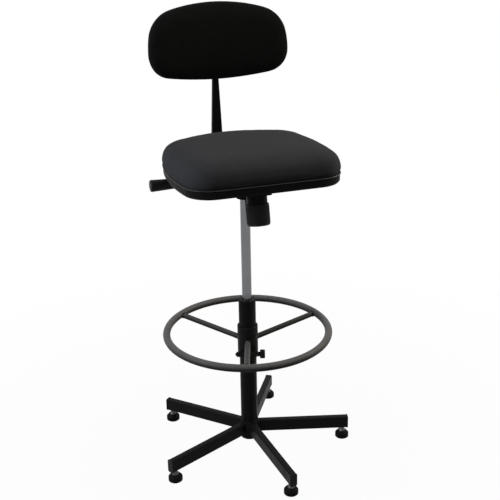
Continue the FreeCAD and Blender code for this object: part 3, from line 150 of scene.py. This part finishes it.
# Darkest and lightest tone of each finish
SEAT_DARK = (0.0245, 0.0245, 0.0264, 1)
SEAT_LIGHT = (0.0425, 0.0425, 0.0452, 1)
BACK_DARK = (0.0040, 0.0040, 0.0037, 1)
BACK_LIGHT = (0.0090, 0.0091, 0.0085, 1)
COAT_DARK = (0.0070, 0.0068, 0.0066, 1)
COAT_LIGHT = (0.0100, 0.0097, 0.0094, 1)
# Darker copy of the black powder coat: painted shade on the stand tube and spine
SHADED_COAT_DARK = (0.0036, 0.0035, 0.0034, 1)
SHADED_COAT_LIGHT = (0.0062, 0.0060, 0.0058, 1)
# Foot ring spokes and tube: painted shade below and a painted highlight on the upper side
SPOKE_PAINTED_SHADE = (0.014, 0.0135, 0.013, 1)
SPOKE_PAINTED_HIGHLIGHT = (0.064, 0.062, 0.059, 1)
RING_PAINTED_SHADE = (0.016, 0.0155, 0.015, 1)
RING_PAINTED_HIGHLIGHT = (0.112, 0.109, 0.106, 1)
CHROME_DARK = (0.145, 0.150, 0.157, 1)
CHROME_LIGHT = (0.180, 0.183, 0.187, 1)
STEEL_DARK = (0.045, 0.045, 0.044, 1)
STEEL_LIGHT = (0.085, 0.085, 0.083, 1)
PLASTIC_DARK = (0.0052, 0.0053, 0.0051, 1)
PLASTIC_LIGHT = (0.0086, 0.0087, 0.0083, 1)
RUBBER_DARK = (0.010, 0.010, 0.010, 1)
RUBBER_LIGHT = (0.018, 0.018, 0.018, 1)
WOOD_DARK = (0.34, 0.22, 0.12, 1)
WOOD_LIGHT = (0.48, 0.34, 0.2, 1)

# Specular level of the finishes, and how much fuzz the fabrics show
COAT_GLOSS = 0.035
SHADED_COAT_GLOSS = 0.04
PAINTED_LIGHT_COAT_GLOSS = 0.04
PLASTIC_GLOSS = 0.08
DEEP_PLASTIC_GLOSS = 0.025
PIPING_GLOSS = 0.35
SEAT_GLOSS = 0.02
SEAT_SHEEN = 0.01
BACK_GLOSS = 0.015
BACK_SHEEN = 0.01

# Height of the surface normal at which the painted highlight on the upper side of the foot ring starts and at
# which it is full
PAINTED_HIGHLIGHT_FROM = -0.25
PAINTED_HIGHLIGHT_FULL = 0.75

# Scales of the fabric's threads, fuzz and soft clouds
THREAD_SCALE = 190.0
FUZZ_SCALE = 420.0
CLOUD_SCALE = 22.0

# Studio
LAMP_TARGET = Vector((0.0, 0.0, 0.9))
# Lamps by name: place, size, power and colour
LAMPS = {
    "left": (Vector((-2.2, -0.3, 1.9)), 1.2, 52.0, (0.90, 0.95, 1.0)),
    "right": (Vector((2.0, -0.3, 1.8)), 1.0, 47.0, (1.0, 0.94, 0.86)),
    "overhead": (Vector((0.0, 0.2, 3.2)), 1.2, 10.0, (1.0, 0.99, 0.98)),
}
FILL_STRENGTH = 0.12
FLOOR_HALF_SIZE = 14.0
FLOOR_TONE = (0.20, 0.20, 0.20, 1.0)
FLOOR_GLOW = 0.970
FLOOR_FADE_START = 0.4
FLOOR_FADE_END = 1.6

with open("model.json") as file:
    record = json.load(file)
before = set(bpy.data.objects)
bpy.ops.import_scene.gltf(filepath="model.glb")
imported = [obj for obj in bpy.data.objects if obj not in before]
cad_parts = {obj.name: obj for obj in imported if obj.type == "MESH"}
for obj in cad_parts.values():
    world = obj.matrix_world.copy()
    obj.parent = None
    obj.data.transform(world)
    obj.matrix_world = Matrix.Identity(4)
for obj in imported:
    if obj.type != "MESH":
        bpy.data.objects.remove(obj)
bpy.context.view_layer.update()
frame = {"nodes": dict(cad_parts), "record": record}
nodes = frame["nodes"]


# Shader helpers
def new_material(name):
    material = bpy.data.materials.new(name)
    material.use_nodes = True
    return material, material.node_tree, material.node_tree.nodes["Principled BSDF"]


def object_coordinates(tree):
    return tree.nodes.new("ShaderNodeTexCoord").outputs["Object"]


def noise(tree, scale, detail=4.0, roughness=0.55):
    texture = tree.nodes.new("ShaderNodeTexNoise")
    texture.inputs["Scale"].default_value = scale
    texture.inputs["Detail"].default_value = detail
    texture.inputs["Roughness"].default_value = roughness
    tree.links.new(object_coordinates(tree), texture.inputs["Vector"])
    return texture.outputs["Fac"]


def wave(tree, scale, direction, distortion):
    texture = tree.nodes.new("ShaderNodeTexWave")
    texture.wave_type = "BANDS"
    texture.bands_direction = direction
    texture.inputs["Scale"].default_value = scale
    texture.inputs["Distortion"].default_value = distortion
    texture.inputs["Detail Scale"].default_value = 2.0
    tree.links.new(object_coordinates(tree), texture.inputs["Vector"])
    return texture.outputs["Fac"]


def ramp(tree, factor, low, high, low_at=0.3, high_at=0.7):
    node = tree.nodes.new("ShaderNodeValToRGB")
    node.color_ramp.elements[0].position = low_at
    node.color_ramp.elements[0].color = low
    node.color_ramp.elements[1].position = high_at
    node.color_ramp.elements[1].color = high
    tree.links.new(factor, node.inputs["Fac"])
    return node.outputs["Color"]


def span(tree, factor, low, high):
    node = tree.nodes.new("ShaderNodeMapRange")
    node.inputs["From Min"].default_value = 0.3
    node.inputs["From Max"].default_value = 0.7
    node.inputs["To Min"].default_value = low
    node.inputs["To Max"].default_value = high
    tree.links.new(factor, node.inputs["Value"])
    return node.outputs["Result"]


def combine(tree, operation, first, second):
    node = tree.nodes.new("ShaderNodeMath")
    node.operation = operation
    tree.links.new(first, node.inputs[0])
    tree.links.new(second, node.inputs[1])
    return node.outputs["Value"]


def bump(tree, shader, height, strength, distance):
    node = tree.nodes.new("ShaderNodeBump")
    node.inputs["Strength"].default_value = strength
    node.inputs["Distance"].default_value = distance
    tree.links.new(height, node.inputs["Height"])
    tree.links.new(node.outputs["Normal"], shader.inputs["Normal"])


# Materials
def coat_surface(tree, shader, gloss):
    # Uneven shine and fine grain of a powder coat
    tree.links.new(span(tree, noise(tree, 35.0), 0.36, 0.46), shader.inputs["Roughness"])
    shader.inputs["Specular IOR Level"].default_value = gloss
    bump(tree, shader, noise(tree, 700.0, 2.0), 0.10, 0.0003)


def powder_coat(name, dark, light, gloss):
    material, tree, shader = new_material(name)
    tree.links.new(ramp(tree, noise(tree, 9.0), dark, light), shader.inputs["Base Color"])
    coat_surface(tree, shader, gloss)
    return material


def facing_up(tree):
    # 0 where a surface faces down, 1 where it faces up: the mask of the painted highlight
    split = tree.nodes.new("ShaderNodeSeparateXYZ")
    tree.links.new(tree.nodes.new("ShaderNodeTexCoord").outputs["Normal"], split.inputs["Vector"])
    node = tree.nodes.new("ShaderNodeMapRange")
    node.inputs["From Min"].default_value = PAINTED_HIGHLIGHT_FROM
    node.inputs["From Max"].default_value = PAINTED_HIGHLIGHT_FULL
    tree.links.new(split.outputs["Z"], node.inputs["Value"])
    return node.outputs["Result"]


def painted_light_coat(name, dark, light):
    # Black coat with painted light: painted lighter on its upper side and darker below, as light from above
    # would fall on it
    material, tree, shader = new_material(name)
    painted_highlight = combine(tree, "MULTIPLY", facing_up(tree), span(tree, noise(tree, 28.0), 0.84, 1.0))
    tree.links.new(ramp(tree, painted_highlight, dark, light, 0.05, 0.95), shader.inputs["Base Color"])
    coat_surface(tree, shader, PAINTED_LIGHT_COAT_GLOSS)
    return material


def chrome():
    material, tree, shader = new_material("chrome_plate")
    shader.inputs["Metallic"].default_value = 1.0
    tint = ramp(tree, noise(tree, 14.0), CHROME_DARK, CHROME_LIGHT)
    tree.links.new(tint, shader.inputs["Base Color"])
    tree.links.new(span(tree, noise(tree, 60.0), 0.14, 0.22), shader.inputs["Roughness"])
    return material


def plated_steel():
    material, tree, shader = new_material("plated_steel")
    shader.inputs["Metallic"].default_value = 1.0
    tint = ramp(tree, noise(tree, 120.0), STEEL_DARK, STEEL_LIGHT)
    tree.links.new(tint, shader.inputs["Base Color"])
    tree.links.new(span(tree, noise(tree, 90.0), 0.26, 0.38), shader.inputs["Roughness"])
    bump(tree, shader, noise(tree, 1200.0, 2.0), 0.1, 0.0002)
    return material


def moulded_plastic(name, gloss):
    material, tree, shader = new_material(name)
    tint = ramp(tree, noise(tree, 20.0), PLASTIC_DARK, PLASTIC_LIGHT)
    tree.links.new(tint, shader.inputs["Base Color"])
    tree.links.new(span(tree, noise(tree, 50.0), 0.44, 0.56), shader.inputs["Roughness"])
    shader.inputs["Specular IOR Level"].default_value = gloss
    bump(tree, shader, noise(tree, 1500.0, 3.0), 0.15, 0.0002)
    return material


def rubber():
    material, tree, shader = new_material("black_rubber")
    tint = ramp(tree, noise(tree, 40.0), RUBBER_DARK, RUBBER_LIGHT)
    tree.links.new(tint, shader.inputs["Base Color"])
    tree.links.new(span(tree, noise(tree, 90.0), 0.65, 0.8), shader.inputs["Roughness"])
    return material


def plywood():
    material, tree, shader = new_material("plywood")
    tint = ramp(tree, wave(tree, 12.0, "Y", 6.0), WOOD_DARK, WOOD_LIGHT)
    tree.links.new(tint, shader.inputs["Base Color"])
    tree.links.new(span(tree, noise(tree, 70.0), 0.55, 0.7), shader.inputs["Roughness"])
    bump(tree, shader, wave(tree, 30.0, "Y", 5.0), 0.15, 0.0004)
    return material


def woven_fabric(name, dark, light, directions, gloss, sheen):
    material, tree, shader = new_material(name)
    warp = wave(tree, THREAD_SCALE, directions[0], 0.6)
    weft = wave(tree, THREAD_SCALE, directions[1], 0.6)
    weave = combine(tree, "MULTIPLY", warp, weft)
    fuzz = combine(tree, "ADD", weave, noise(tree, FUZZ_SCALE, 3.0))
    clouds = span(tree, noise(tree, CLOUD_SCALE, 3.0), 0.46, 0.54)
    shade = combine(tree, "MULTIPLY", fuzz, clouds)
    tree.links.new(ramp(tree, shade, dark, light, 0.15, 0.75), shader.inputs["Base Color"])
    tree.links.new(span(tree, noise(tree, 60.0), 0.80, 0.92), shader.inputs["Roughness"])
    shader.inputs["Specular IOR Level"].default_value = gloss
    shader.inputs["Sheen Weight"].default_value = sheen
    shader.inputs["Sheen Roughness"].default_value = 0.5
    bump(tree, shader, fuzz, 0.3, 0.0005)
    return material


materials = {
    "black_powder_coat": powder_coat("black_powder_coat", COAT_DARK, COAT_LIGHT, COAT_GLOSS),
    "chrome_plate": chrome(),
    "plated_steel": plated_steel(),
    "black_plastic": moulded_plastic("black_plastic", PLASTIC_GLOSS),
    "black_rubber": rubber(),
    "plywood": plywood(),
    "grey_fabric": woven_fabric("grey_fabric", SEAT_DARK, SEAT_LIGHT, "XY", SEAT_GLOSS, SEAT_SHEEN),
    "black_fabric": woven_fabric("black_fabric", BACK_DARK, BACK_LIGHT, "XZ", BACK_GLOSS, BACK_SHEEN),
}

# Finishes that differ from the others of their slot: painted shade on the stand tube and spine, a painted
# highlight on the upper side of the foot ring and spokes, duller plastic on the shell and glides, glossy
# piping
# Painted shade: a darker copy of the black powder coat for the stand tube and spine
painted_shade_coat = powder_coat("painted_shade_powder_coat", SHADED_COAT_DARK, SHADED_COAT_LIGHT, SHADED_COAT_GLOSS)
deep_plastic = moulded_plastic("deep_plastic", DEEP_PLASTIC_GLOSS)
SHADES = {
    # Foot ring tube and spokes: painted highlight on top, painted shade below
    "ring_tube": painted_light_coat("ring_painted_light_coat", RING_PAINTED_SHADE, RING_PAINTED_HIGHLIGHT),
    "ring_spokes": painted_light_coat("spoke_painted_light_coat", SPOKE_PAINTED_SHADE, SPOKE_PAINTED_HIGHLIGHT),
    "stand_tube": painted_shade_coat,
    "spine": painted_shade_coat,
    "seat_shell": deep_plastic,
    "seat_piping": moulded_plastic("glossy_plastic", PIPING_GLOSS),
}
for i in range(ARM_COUNT):
    SHADES["glide_foot_%d" % (i + 1)] = deep_plastic


def dress(piece, slot):
    # Gives a piece its own shade, or else the material of its record slot
    piece.data.materials.clear()
    piece.data.materials.append(SHADES.get(piece.name, materials[slot]))


for entry in frame["record"]["subparts"]:
    dress(nodes[entry["node"]], entry["material_slot"])


# Piece helpers
def new_piece(name, mesh):
    piece = bpy.data.objects.new(name, mesh)
    bpy.context.scene.collection.objects.link(piece)
    return piece


def finish_piece(piece, body, slot):
    dress(piece, slot)
    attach(piece, body)


def shade_smooth(mesh):
    mesh.polygons.foreach_set("use_smooth", [True] * len(mesh.polygons))


def apply_modifiers(piece):
    bpy.context.view_layer.update()
    graph = bpy.context.evaluated_depsgraph_get()
    solid = bpy.data.meshes.new_from_object(piece.evaluated_get(graph))
    piece.modifiers.clear()
    piece.data = solid


def smooth(piece, iterations):
    relax = piece.modifiers.new("relax", "SMOOTH")
    relax.iterations = iterations
    relax.factor = SMOOTH_SHARE
    apply_modifiers(piece)


def join_loops(shape, loops):
    # Quads between neighbouring closed loops of points
    rows = [[shape.verts.new(place) for place in loop] for loop in loops]
    for row, after in zip(rows, rows[1:]):
        for j in range(len(row)):
            beside = (j + 1) % len(row)
            shape.faces.new((row[j], row[beside], after[beside], after[j]))
    return rows


def mesh_of(name, shape):
    mesh = bpy.data.meshes.new(name)
    bmesh.ops.recalc_face_normals(shape, faces=shape.faces)
    shape.to_mesh(mesh)
    shape.free()
    shade_smooth(mesh)
    return mesh


def outline_of(points):
    # Distance from the middle to the outline of flat points, in OUTLINE_STEPS directions
    hull = [points[i] for i in convex_hull_2d(points)]
    sides = list(zip(hull, hull[1:] + hull[:1]))
    outline = []
    for i in range(OUTLINE_STEPS):
        angle = 2.0 * math.pi * i / OUTLINE_STEPS
        ray = Vector((math.cos(angle), math.sin(angle)))
        reach = 0.0
        for first, last in sides:
            run = last - first
            across = ray.x * run.y - ray.y * run.x
            if abs(across) > NEARLY_PARALLEL:
                along = (first.x * run.y - first.y * run.x) / across
                share = (first.x * ray.y - first.y * ray.x) / across
                if along > reach and -OUTLINE_SLACK <= share <= 1.0 + OUTLINE_SLACK:
                    reach = along
        outline.append(ray * reach)
    return outline


def drawn_in(outline, inset):
    return [spot * (1.0 - inset / spot.length) for spot in outline]


def thin_ring(shape, outer, places):
    # Triangles from a ring of points to one inside it with half as many
    inner = [shape.verts.new(place) for place in places]
    for i in range(len(inner)):
        ahead = (i + 1) % len(inner)
        first = outer[2 * i]
        between = outer[2 * i + 1]
        last = outer[(2 * i + 2) % len(outer)]
        shape.faces.new((first, between, inner[i]))
        shape.faces.new((between, inner[ahead], inner[i]))
        shape.faces.new((between, last, inner[ahead]))
    return inner


def even_ring(shape, outer, places):
    # Quads from a ring of points to one inside it with as many
    inner = [shape.verts.new(place) for place in places]
    for i in range(len(inner)):
        ahead = (i + 1) % len(inner)
        shape.faces.new((outer[i], outer[ahead], inner[ahead], inner[i]))
    return inner


def cover_mesh(name, outline, side, crown, place):
    # Closed pad: its side rings, then rings that rise to the crown, and a flat rear
    shape = bmesh.new()
    loops = []
    for inset, level in side:
        loops.append([place(spot, level) for spot in drawn_in(outline, inset)])
    rows = join_loops(shape, loops)
    shape.faces.new(rows[0])
    inset, level = side[-1]
    spots = drawn_in(outline, inset)
    row = rows[-1]
    limits = list(THINNED_AT)
    for i in range(1, CROWN_RINGS):
        share = 1.0 - i / CROWN_RINGS
        risen = crown + (level - crown) * share * share
        build = even_ring
        if limits and share < limits[0]:
            limits.pop(0)
            spots = spots[::2]
            build = thin_ring
        row = build(shape, row, [place(spot * share, risen) for spot in spots])
    shape.faces.new(row)
    return mesh_of(name, shape)


def simulate(piece, cap, held_where):
    # Swells a closed mesh with cloth pressure; no point moves further than the cap
    held = piece.vertex_groups.new(name="held")
    start = [v.co.copy() for v in piece.data.vertices]
    held.add([i for i, place in enumerate(start) if held_where(place)], 1.0, "REPLACE")
    cloth = piece.modifiers.new("cloth", "CLOTH")
    cloth.settings.quality = CLOTH_QUALITY
    cloth.settings.use_pressure = True
    cloth.settings.uniform_pressure_force = CLOTH_PRESSURE
    cloth.settings.effector_weights.gravity = 0.0
    cloth.settings.vertex_group_mass = "held"
    cloth.collision_settings.use_collision = False
    scene = bpy.context.scene
    for number in range(1, CLOTH_FRAMES + 1):
        scene.frame_set(number)
    graph = bpy.context.evaluated_depsgraph_get()
    swollen = piece.evaluated_get(graph).to_mesh()
    for vertex, place, moved in zip(piece.data.vertices, start, [v.co.copy() for v in swollen.vertices]):
        shift = moved - place
        if shift.length > cap:
            shift = shift.normalized() * cap
        vertex.co = place + shift
    piece.evaluated_get(graph).to_mesh_clear()
    piece.modifiers.clear()
    piece.vertex_groups.clear()
    scene.frame_set(1)


def upholstered(piece, node, shrink, cap, held_where, body, slot):
    # Turns a closed form, drawn in a little, into a padded cover that swells back
    for vertex, normal in [(v, v.normal.copy()) for v in piece.data.vertices]:
        if not held_where(vertex.co):
            vertex.co -= normal * shrink
    simulate(piece, cap, held_where)
    smooth(piece, SMOOTH_STEPS)
    subdivision = piece.modifiers.new("subdivision", "SUBSURF")
    subdivision.levels = 1
    apply_modifiers(piece)
    shade_smooth(piece.data)
    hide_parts(node)
    finish_piece(piece, body, slot)


def bead_piece(name, points, radius, ripple, body, slot):
    # Closed round bead along a loop of points, rippled as a weld is, or plain with no ripple
    count = len(points)
    loops = []
    middle = sum(points, Vector()) / count
    for i, place in enumerate(points):
        run = (points[(i + 1) % count] - points[i - 1]).normalized()
        outward = place - middle
        outward = (outward - run * outward.dot(run)).normalized()
        beside = run.cross(outward)
        swell = radius * (1.0 + ripple * math.sin(2.0 * math.pi * i / POINTS_PER_RIPPLE))
        loop = []
        for j in range(BEAD_SIDES):
            tilt = 2.0 * math.pi * j / BEAD_SIDES
            loop.append(place + outward * (swell * math.cos(tilt)) + beside * (swell * math.sin(tilt)))
        loops.append(loop)
    shape = bmesh.new()
    rows = join_loops(shape, loops)
    for j in range(BEAD_SIDES):
        ahead = (j + 1) % BEAD_SIDES
        shape.faces.new((rows[-1][j], rows[-1][ahead], rows[0][ahead], rows[0][j]))
    finish_piece(new_piece(name, mesh_of(name, shape)), body, slot)


def circle_points(centre, axis, radius):
    # Points round an axis, about a step apart, in whole ripples
    turn = axis.to_track_quat("Z", "Y").to_matrix()
    ripples = round(2.0 * math.pi * radius / BEAD_STEP / POINTS_PER_RIPPLE)
    count = POINTS_PER_RIPPLE * max(LEAST_RIPPLES, ripples)
    angles = [2.0 * math.pi * i / count for i in range(count)]
    return [centre + turn @ Vector((radius * math.cos(a), radius * math.sin(a), 0.0)) for a in angles]


def even_points(corners):
    # Points about half a step apart along a closed run of corners
    points = []
    for first, last in zip(corners, corners[1:] + corners[:1]):
        steps = max(1, round((last - first).length / (BEAD_STEP / 2.0)))
        points += [first.lerp(last, i / steps) for i in range(steps)]
    return points


# Seat cover and the trim on the shell's lip
seat_lip_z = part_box("seat_shell")[1].z
seat_points = [v.co.to_2d() for v in nodes["seat_shell"].data.vertices]
seat_edge = outline_of(seat_points)


def on_seat(spot, level):
    return Vector((spot.x, spot.y, seat_lip_z + level))


seat_cover = new_piece("seat_cover", cover_mesh("seat_cover", seat_edge, SEAT_SIDE, SEAT_CROWN, on_seat))
upholstered(
    seat_cover,
    "seat_cushion",
    SEAT_SHRINK,
    SEAT_SWELL,
    lambda place: place.z < seat_lip_z + SEAT_HELD,
    "seat",
    "grey_fabric",
)
lip_points = [on_seat(spot, 0.0) for spot in drawn_in(seat_edge, PIPING_INSET)]
bead_piece("seat_piping", lip_points, PIPING_RADIUS, 0.0, "seat", "black_plastic")

# Backrest cover
back_turn = Matrix.Rotation(-BACK_LEAN, 3, "X")


def back_local(place):
    return back_turn.transposed() @ (place - BACK_PLACE)


back_points = []
for vertex in nodes["back_pad"].data.vertices:
    local = back_local(vertex.co)
    back_points.append(Vector((local.x, local.z)))
back_edge = outline_of(back_points)


def on_back(spot, depth):
    # The pad curves round the sitter and is a little thinner towards its top and bottom
    if depth < 0.0:
        depth *= 1.0 - BACK_FLATTENING * (spot.y / BACK_HALF_HEIGHT) ** 2
    forward = math.sqrt((BACK_CURVE + depth) ** 2 - spot.x ** 2) - BACK_CURVE
    return back_turn @ Vector((spot.x, forward, spot.y)) + BACK_PLACE


def at_back_rim(place):
    # True where the cover meets the rear shell
    local = back_local(place)
    depth = math.hypot(local.x, local.y + BACK_CURVE) - BACK_CURVE
    return depth > BACK_HELD


back_cover = new_piece("back_cover", cover_mesh("back_cover", back_edge, BACK_SIDE, BACK_CROWN, on_back))
upholstered(
    back_cover,
    "back_pad",
    BACK_SHRINK,
    BACK_SWELL,
    at_back_rim,
    "backrest",
    "black_fabric",
)

# Weld beads on the foot ring
for i in range(SPOKE_COUNT):
    angle = -math.pi / 2.0 + RING_TURN + 2.0 * math.pi * i / SPOKE_COUNT
    outward = Vector((math.cos(angle), math.sin(angle), 0.0))
    root = Vector((0.0, 0.0, SPOKE_ROOT_Z))
    rim = outward * RING_RADIUS + Vector((0.0, 0.0, RING_Z))
    run = (rim - root).normalized()
    spots = {"sleeve": root + run * SLEEVE_RADIUS, "ring": rim - run * RING_TUBE_RADIUS}
    for place, centre in spots.items():
        points = circle_points(centre, run, SPOKE_RADIUS)
        name = "weld_%s_%d" % (place, i + 1)
        bead_piece(name, points, BEAD_RADIUS, BEAD_RIPPLE, "foot_ring", "black_powder_coat")

# Weld beads on the base: round the stand tube and round the root of each arm
hub_top = circle_points(Vector((0.0, 0.0, HUB_TOP_Z)), Vector((0.0, 0.0, 1.0)), STAND_RADIUS)
bead_piece("weld_hub", hub_top, BEAD_RADIUS, BEAD_RIPPLE, "base", "black_powder_coat")
for i in range(ARM_COUNT):
    angle = -math.pi / 2.0 + ARM_TURN + 2.0 * math.pi * i / ARM_COUNT
    turn = Matrix.Rotation(angle, 3, "Z")
    root_z = ARM_ROOT_Z - ARM_FALL * HUB_RADIUS
    corners = []
    for side, level in ((-1, -1), (1, -1), (1, 1), (-1, 1)):
        y = side * ARM_HALF_WIDTH
        x = math.sqrt(HUB_RADIUS ** 2 - y ** 2)
        corners.append(turn @ Vector((x, y, root_z + level * ARM_HALF_HEIGHT)))
    name = "weld_arm_%d" % (i + 1)
    bead_piece(name, even_points(corners), BEAD_RADIUS, BEAD_RIPPLE, "base", "black_powder_coat")

# Grip ribs round the tension knob
shape = bmesh.new()
rib_turn = Matrix.Rotation(-KNOB_LEAN, 3, "X")
rib_sections = [
    (KNOB_RIB_TOP, KNOB_RIB_END_SHARE),
    (KNOB_RIB_TOP - KNOB_RIB_RUN_OUT, 1.0),
    (KNOB_RIB_BOTTOM + KNOB_RIB_RUN_OUT, 1.0),
    (KNOB_RIB_BOTTOM, KNOB_RIB_END_SHARE),
]
for i in range(KNOB_RIBS):
    angle = 2.0 * math.pi * i / KNOB_RIBS
    outward = Vector((math.cos(angle), math.sin(angle), 0.0))
    beside = Vector((-math.sin(angle), math.cos(angle), 0.0))
    loops = []
    for along, scale in rib_sections:
        centre = outward * KNOB_RADIUS + Vector((0.0, 0.0, along))
        reach = KNOB_RIB_RADIUS * scale
        height = reach * KNOB_RIB_HEIGHT_SHARE
        loop = []
        for j in range(KNOB_RIB_SIDES):
            tilt = 2.0 * math.pi * j / KNOB_RIB_SIDES
            local = centre + outward * (height * math.cos(tilt)) + beside * (reach * math.sin(tilt))
            loop.append(rib_turn @ local + KNOB_POINT)
        loops.append(loop)
    rows = join_loops(shape, loops)
    shape.faces.new(rows[0])
    shape.faces.new(rows[-1])
finish_piece(new_piece("knob_ribs", mesh_of("knob_ribs", shape)), "tension_knob", "black_plastic")

# Camera
right = Vector((math.cos(CAMERA_HEADING), -math.sin(CAMERA_HEADING), 0.0))
ahead = Vector((
    math.sin(CAMERA_HEADING) * math.cos(CAMERA_PITCH),
    math.cos(CAMERA_HEADING) * math.cos(CAMERA_PITCH),
    -math.sin(CAMERA_PITCH),
))
above = right.cross(ahead)
rolled_right = right * math.cos(CAMERA_ROLL) + above * math.sin(CAMERA_ROLL)
rolled_above = above * math.cos(CAMERA_ROLL) - right * math.sin(CAMERA_ROLL)
camera_data = bpy.data.cameras.new("camera")
camera_data.lens = CAMERA_LENS
camera_data.sensor_width = CAMERA_SENSOR
camera = bpy.data.objects.new("camera", camera_data)
bpy.context.scene.collection.objects.link(camera)
facing = Matrix((rolled_right, rolled_above, -ahead)).transposed().to_4x4()
camera.matrix_world = Matrix.Translation(CAMERA_PLACE) @ facing
bpy.context.scene.camera = camera


# Light
def area_light(name, place, size, power, colour):
    data = bpy.data.lights.new(name, "AREA")
    data.shape = "DISK"
    data.size = size
    data.energy = power
    data.color = colour
    lamp = bpy.data.objects.new(name, data)
    lamp.location = place
    lamp.rotation_euler = (LAMP_TARGET - place).to_track_quat("-Z", "Y").to_euler()
    bpy.context.scene.collection.objects.link(lamp)


for name, (place, size, power, colour) in LAMPS.items():
    area_light(name, place, size, power, colour)


def seen_directly(tree):
    # 1 for camera, transmission and glossy rays, which see the white background
    path = tree.nodes.new("ShaderNodeLightPath")
    seen = combine(tree, "MAXIMUM", path.outputs["Is Camera Ray"], path.outputs["Is Transmission Ray"])
    return combine(tree, "MAXIMUM", seen, path.outputs["Is Glossy Ray"])


world = bpy.data.worlds.new("studio")
world.use_nodes = True
bpy.context.scene.world = world
tree = world.node_tree
brightness = tree.nodes.new("ShaderNodeMapRange")
brightness.inputs["To Min"].default_value = FILL_STRENGTH
brightness.inputs["To Max"].default_value = 1.0
tree.links.new(seen_directly(tree), brightness.inputs["Value"])
tree.links.new(brightness.outputs["Result"], tree.nodes["Background"].inputs["Strength"])
tree.nodes["Background"].inputs["Color"].default_value = (1.0, 1.0, 1.0, 1.0)

# Floor: white, with the object's shadow
shape = bmesh.new()
bmesh.ops.create_grid(shape, x_segments=1, y_segments=1, size=FLOOR_HALF_SIZE)
floor = new_piece("floor", mesh_of("floor", shape))
floor_material = bpy.data.materials.new("floor")
floor_material.use_nodes = True
tree = floor_material.node_tree
tree.nodes.clear()
output = tree.nodes.new("ShaderNodeOutputMaterial")
diffuse = tree.nodes.new("ShaderNodeBsdfDiffuse")
diffuse.inputs["Color"].default_value = FLOOR_TONE
glow = tree.nodes.new("ShaderNodeEmission")
reach = tree.nodes.new("ShaderNodeVectorMath")
reach.operation = "LENGTH"
tree.links.new(object_coordinates(tree), reach.inputs[0])
fade = tree.nodes.new("ShaderNodeMapRange")
fade.inputs["From Min"].default_value = FLOOR_FADE_START
fade.inputs["From Max"].default_value = FLOOR_FADE_END
fade.inputs["To Min"].default_value = FLOOR_GLOW
fade.inputs["To Max"].default_value = 1.0
tree.links.new(reach.outputs["Value"], fade.inputs["Value"])
share = combine(tree, "MULTIPLY", seen_directly(tree), fade.outputs["Result"])
mix = tree.nodes.new("ShaderNodeMixShader")
tree.links.new(share, mix.inputs["Fac"])
tree.links.new(diffuse.outputs["BSDF"], mix.inputs[1])
tree.links.new(glow.outputs["Emission"], mix.inputs[2])
tree.links.new(mix.outputs["Shader"], output.inputs["Surface"])
floor.data.materials.append(floor_material)

bpy.context.scene.view_settings.view_transform = "Standard"
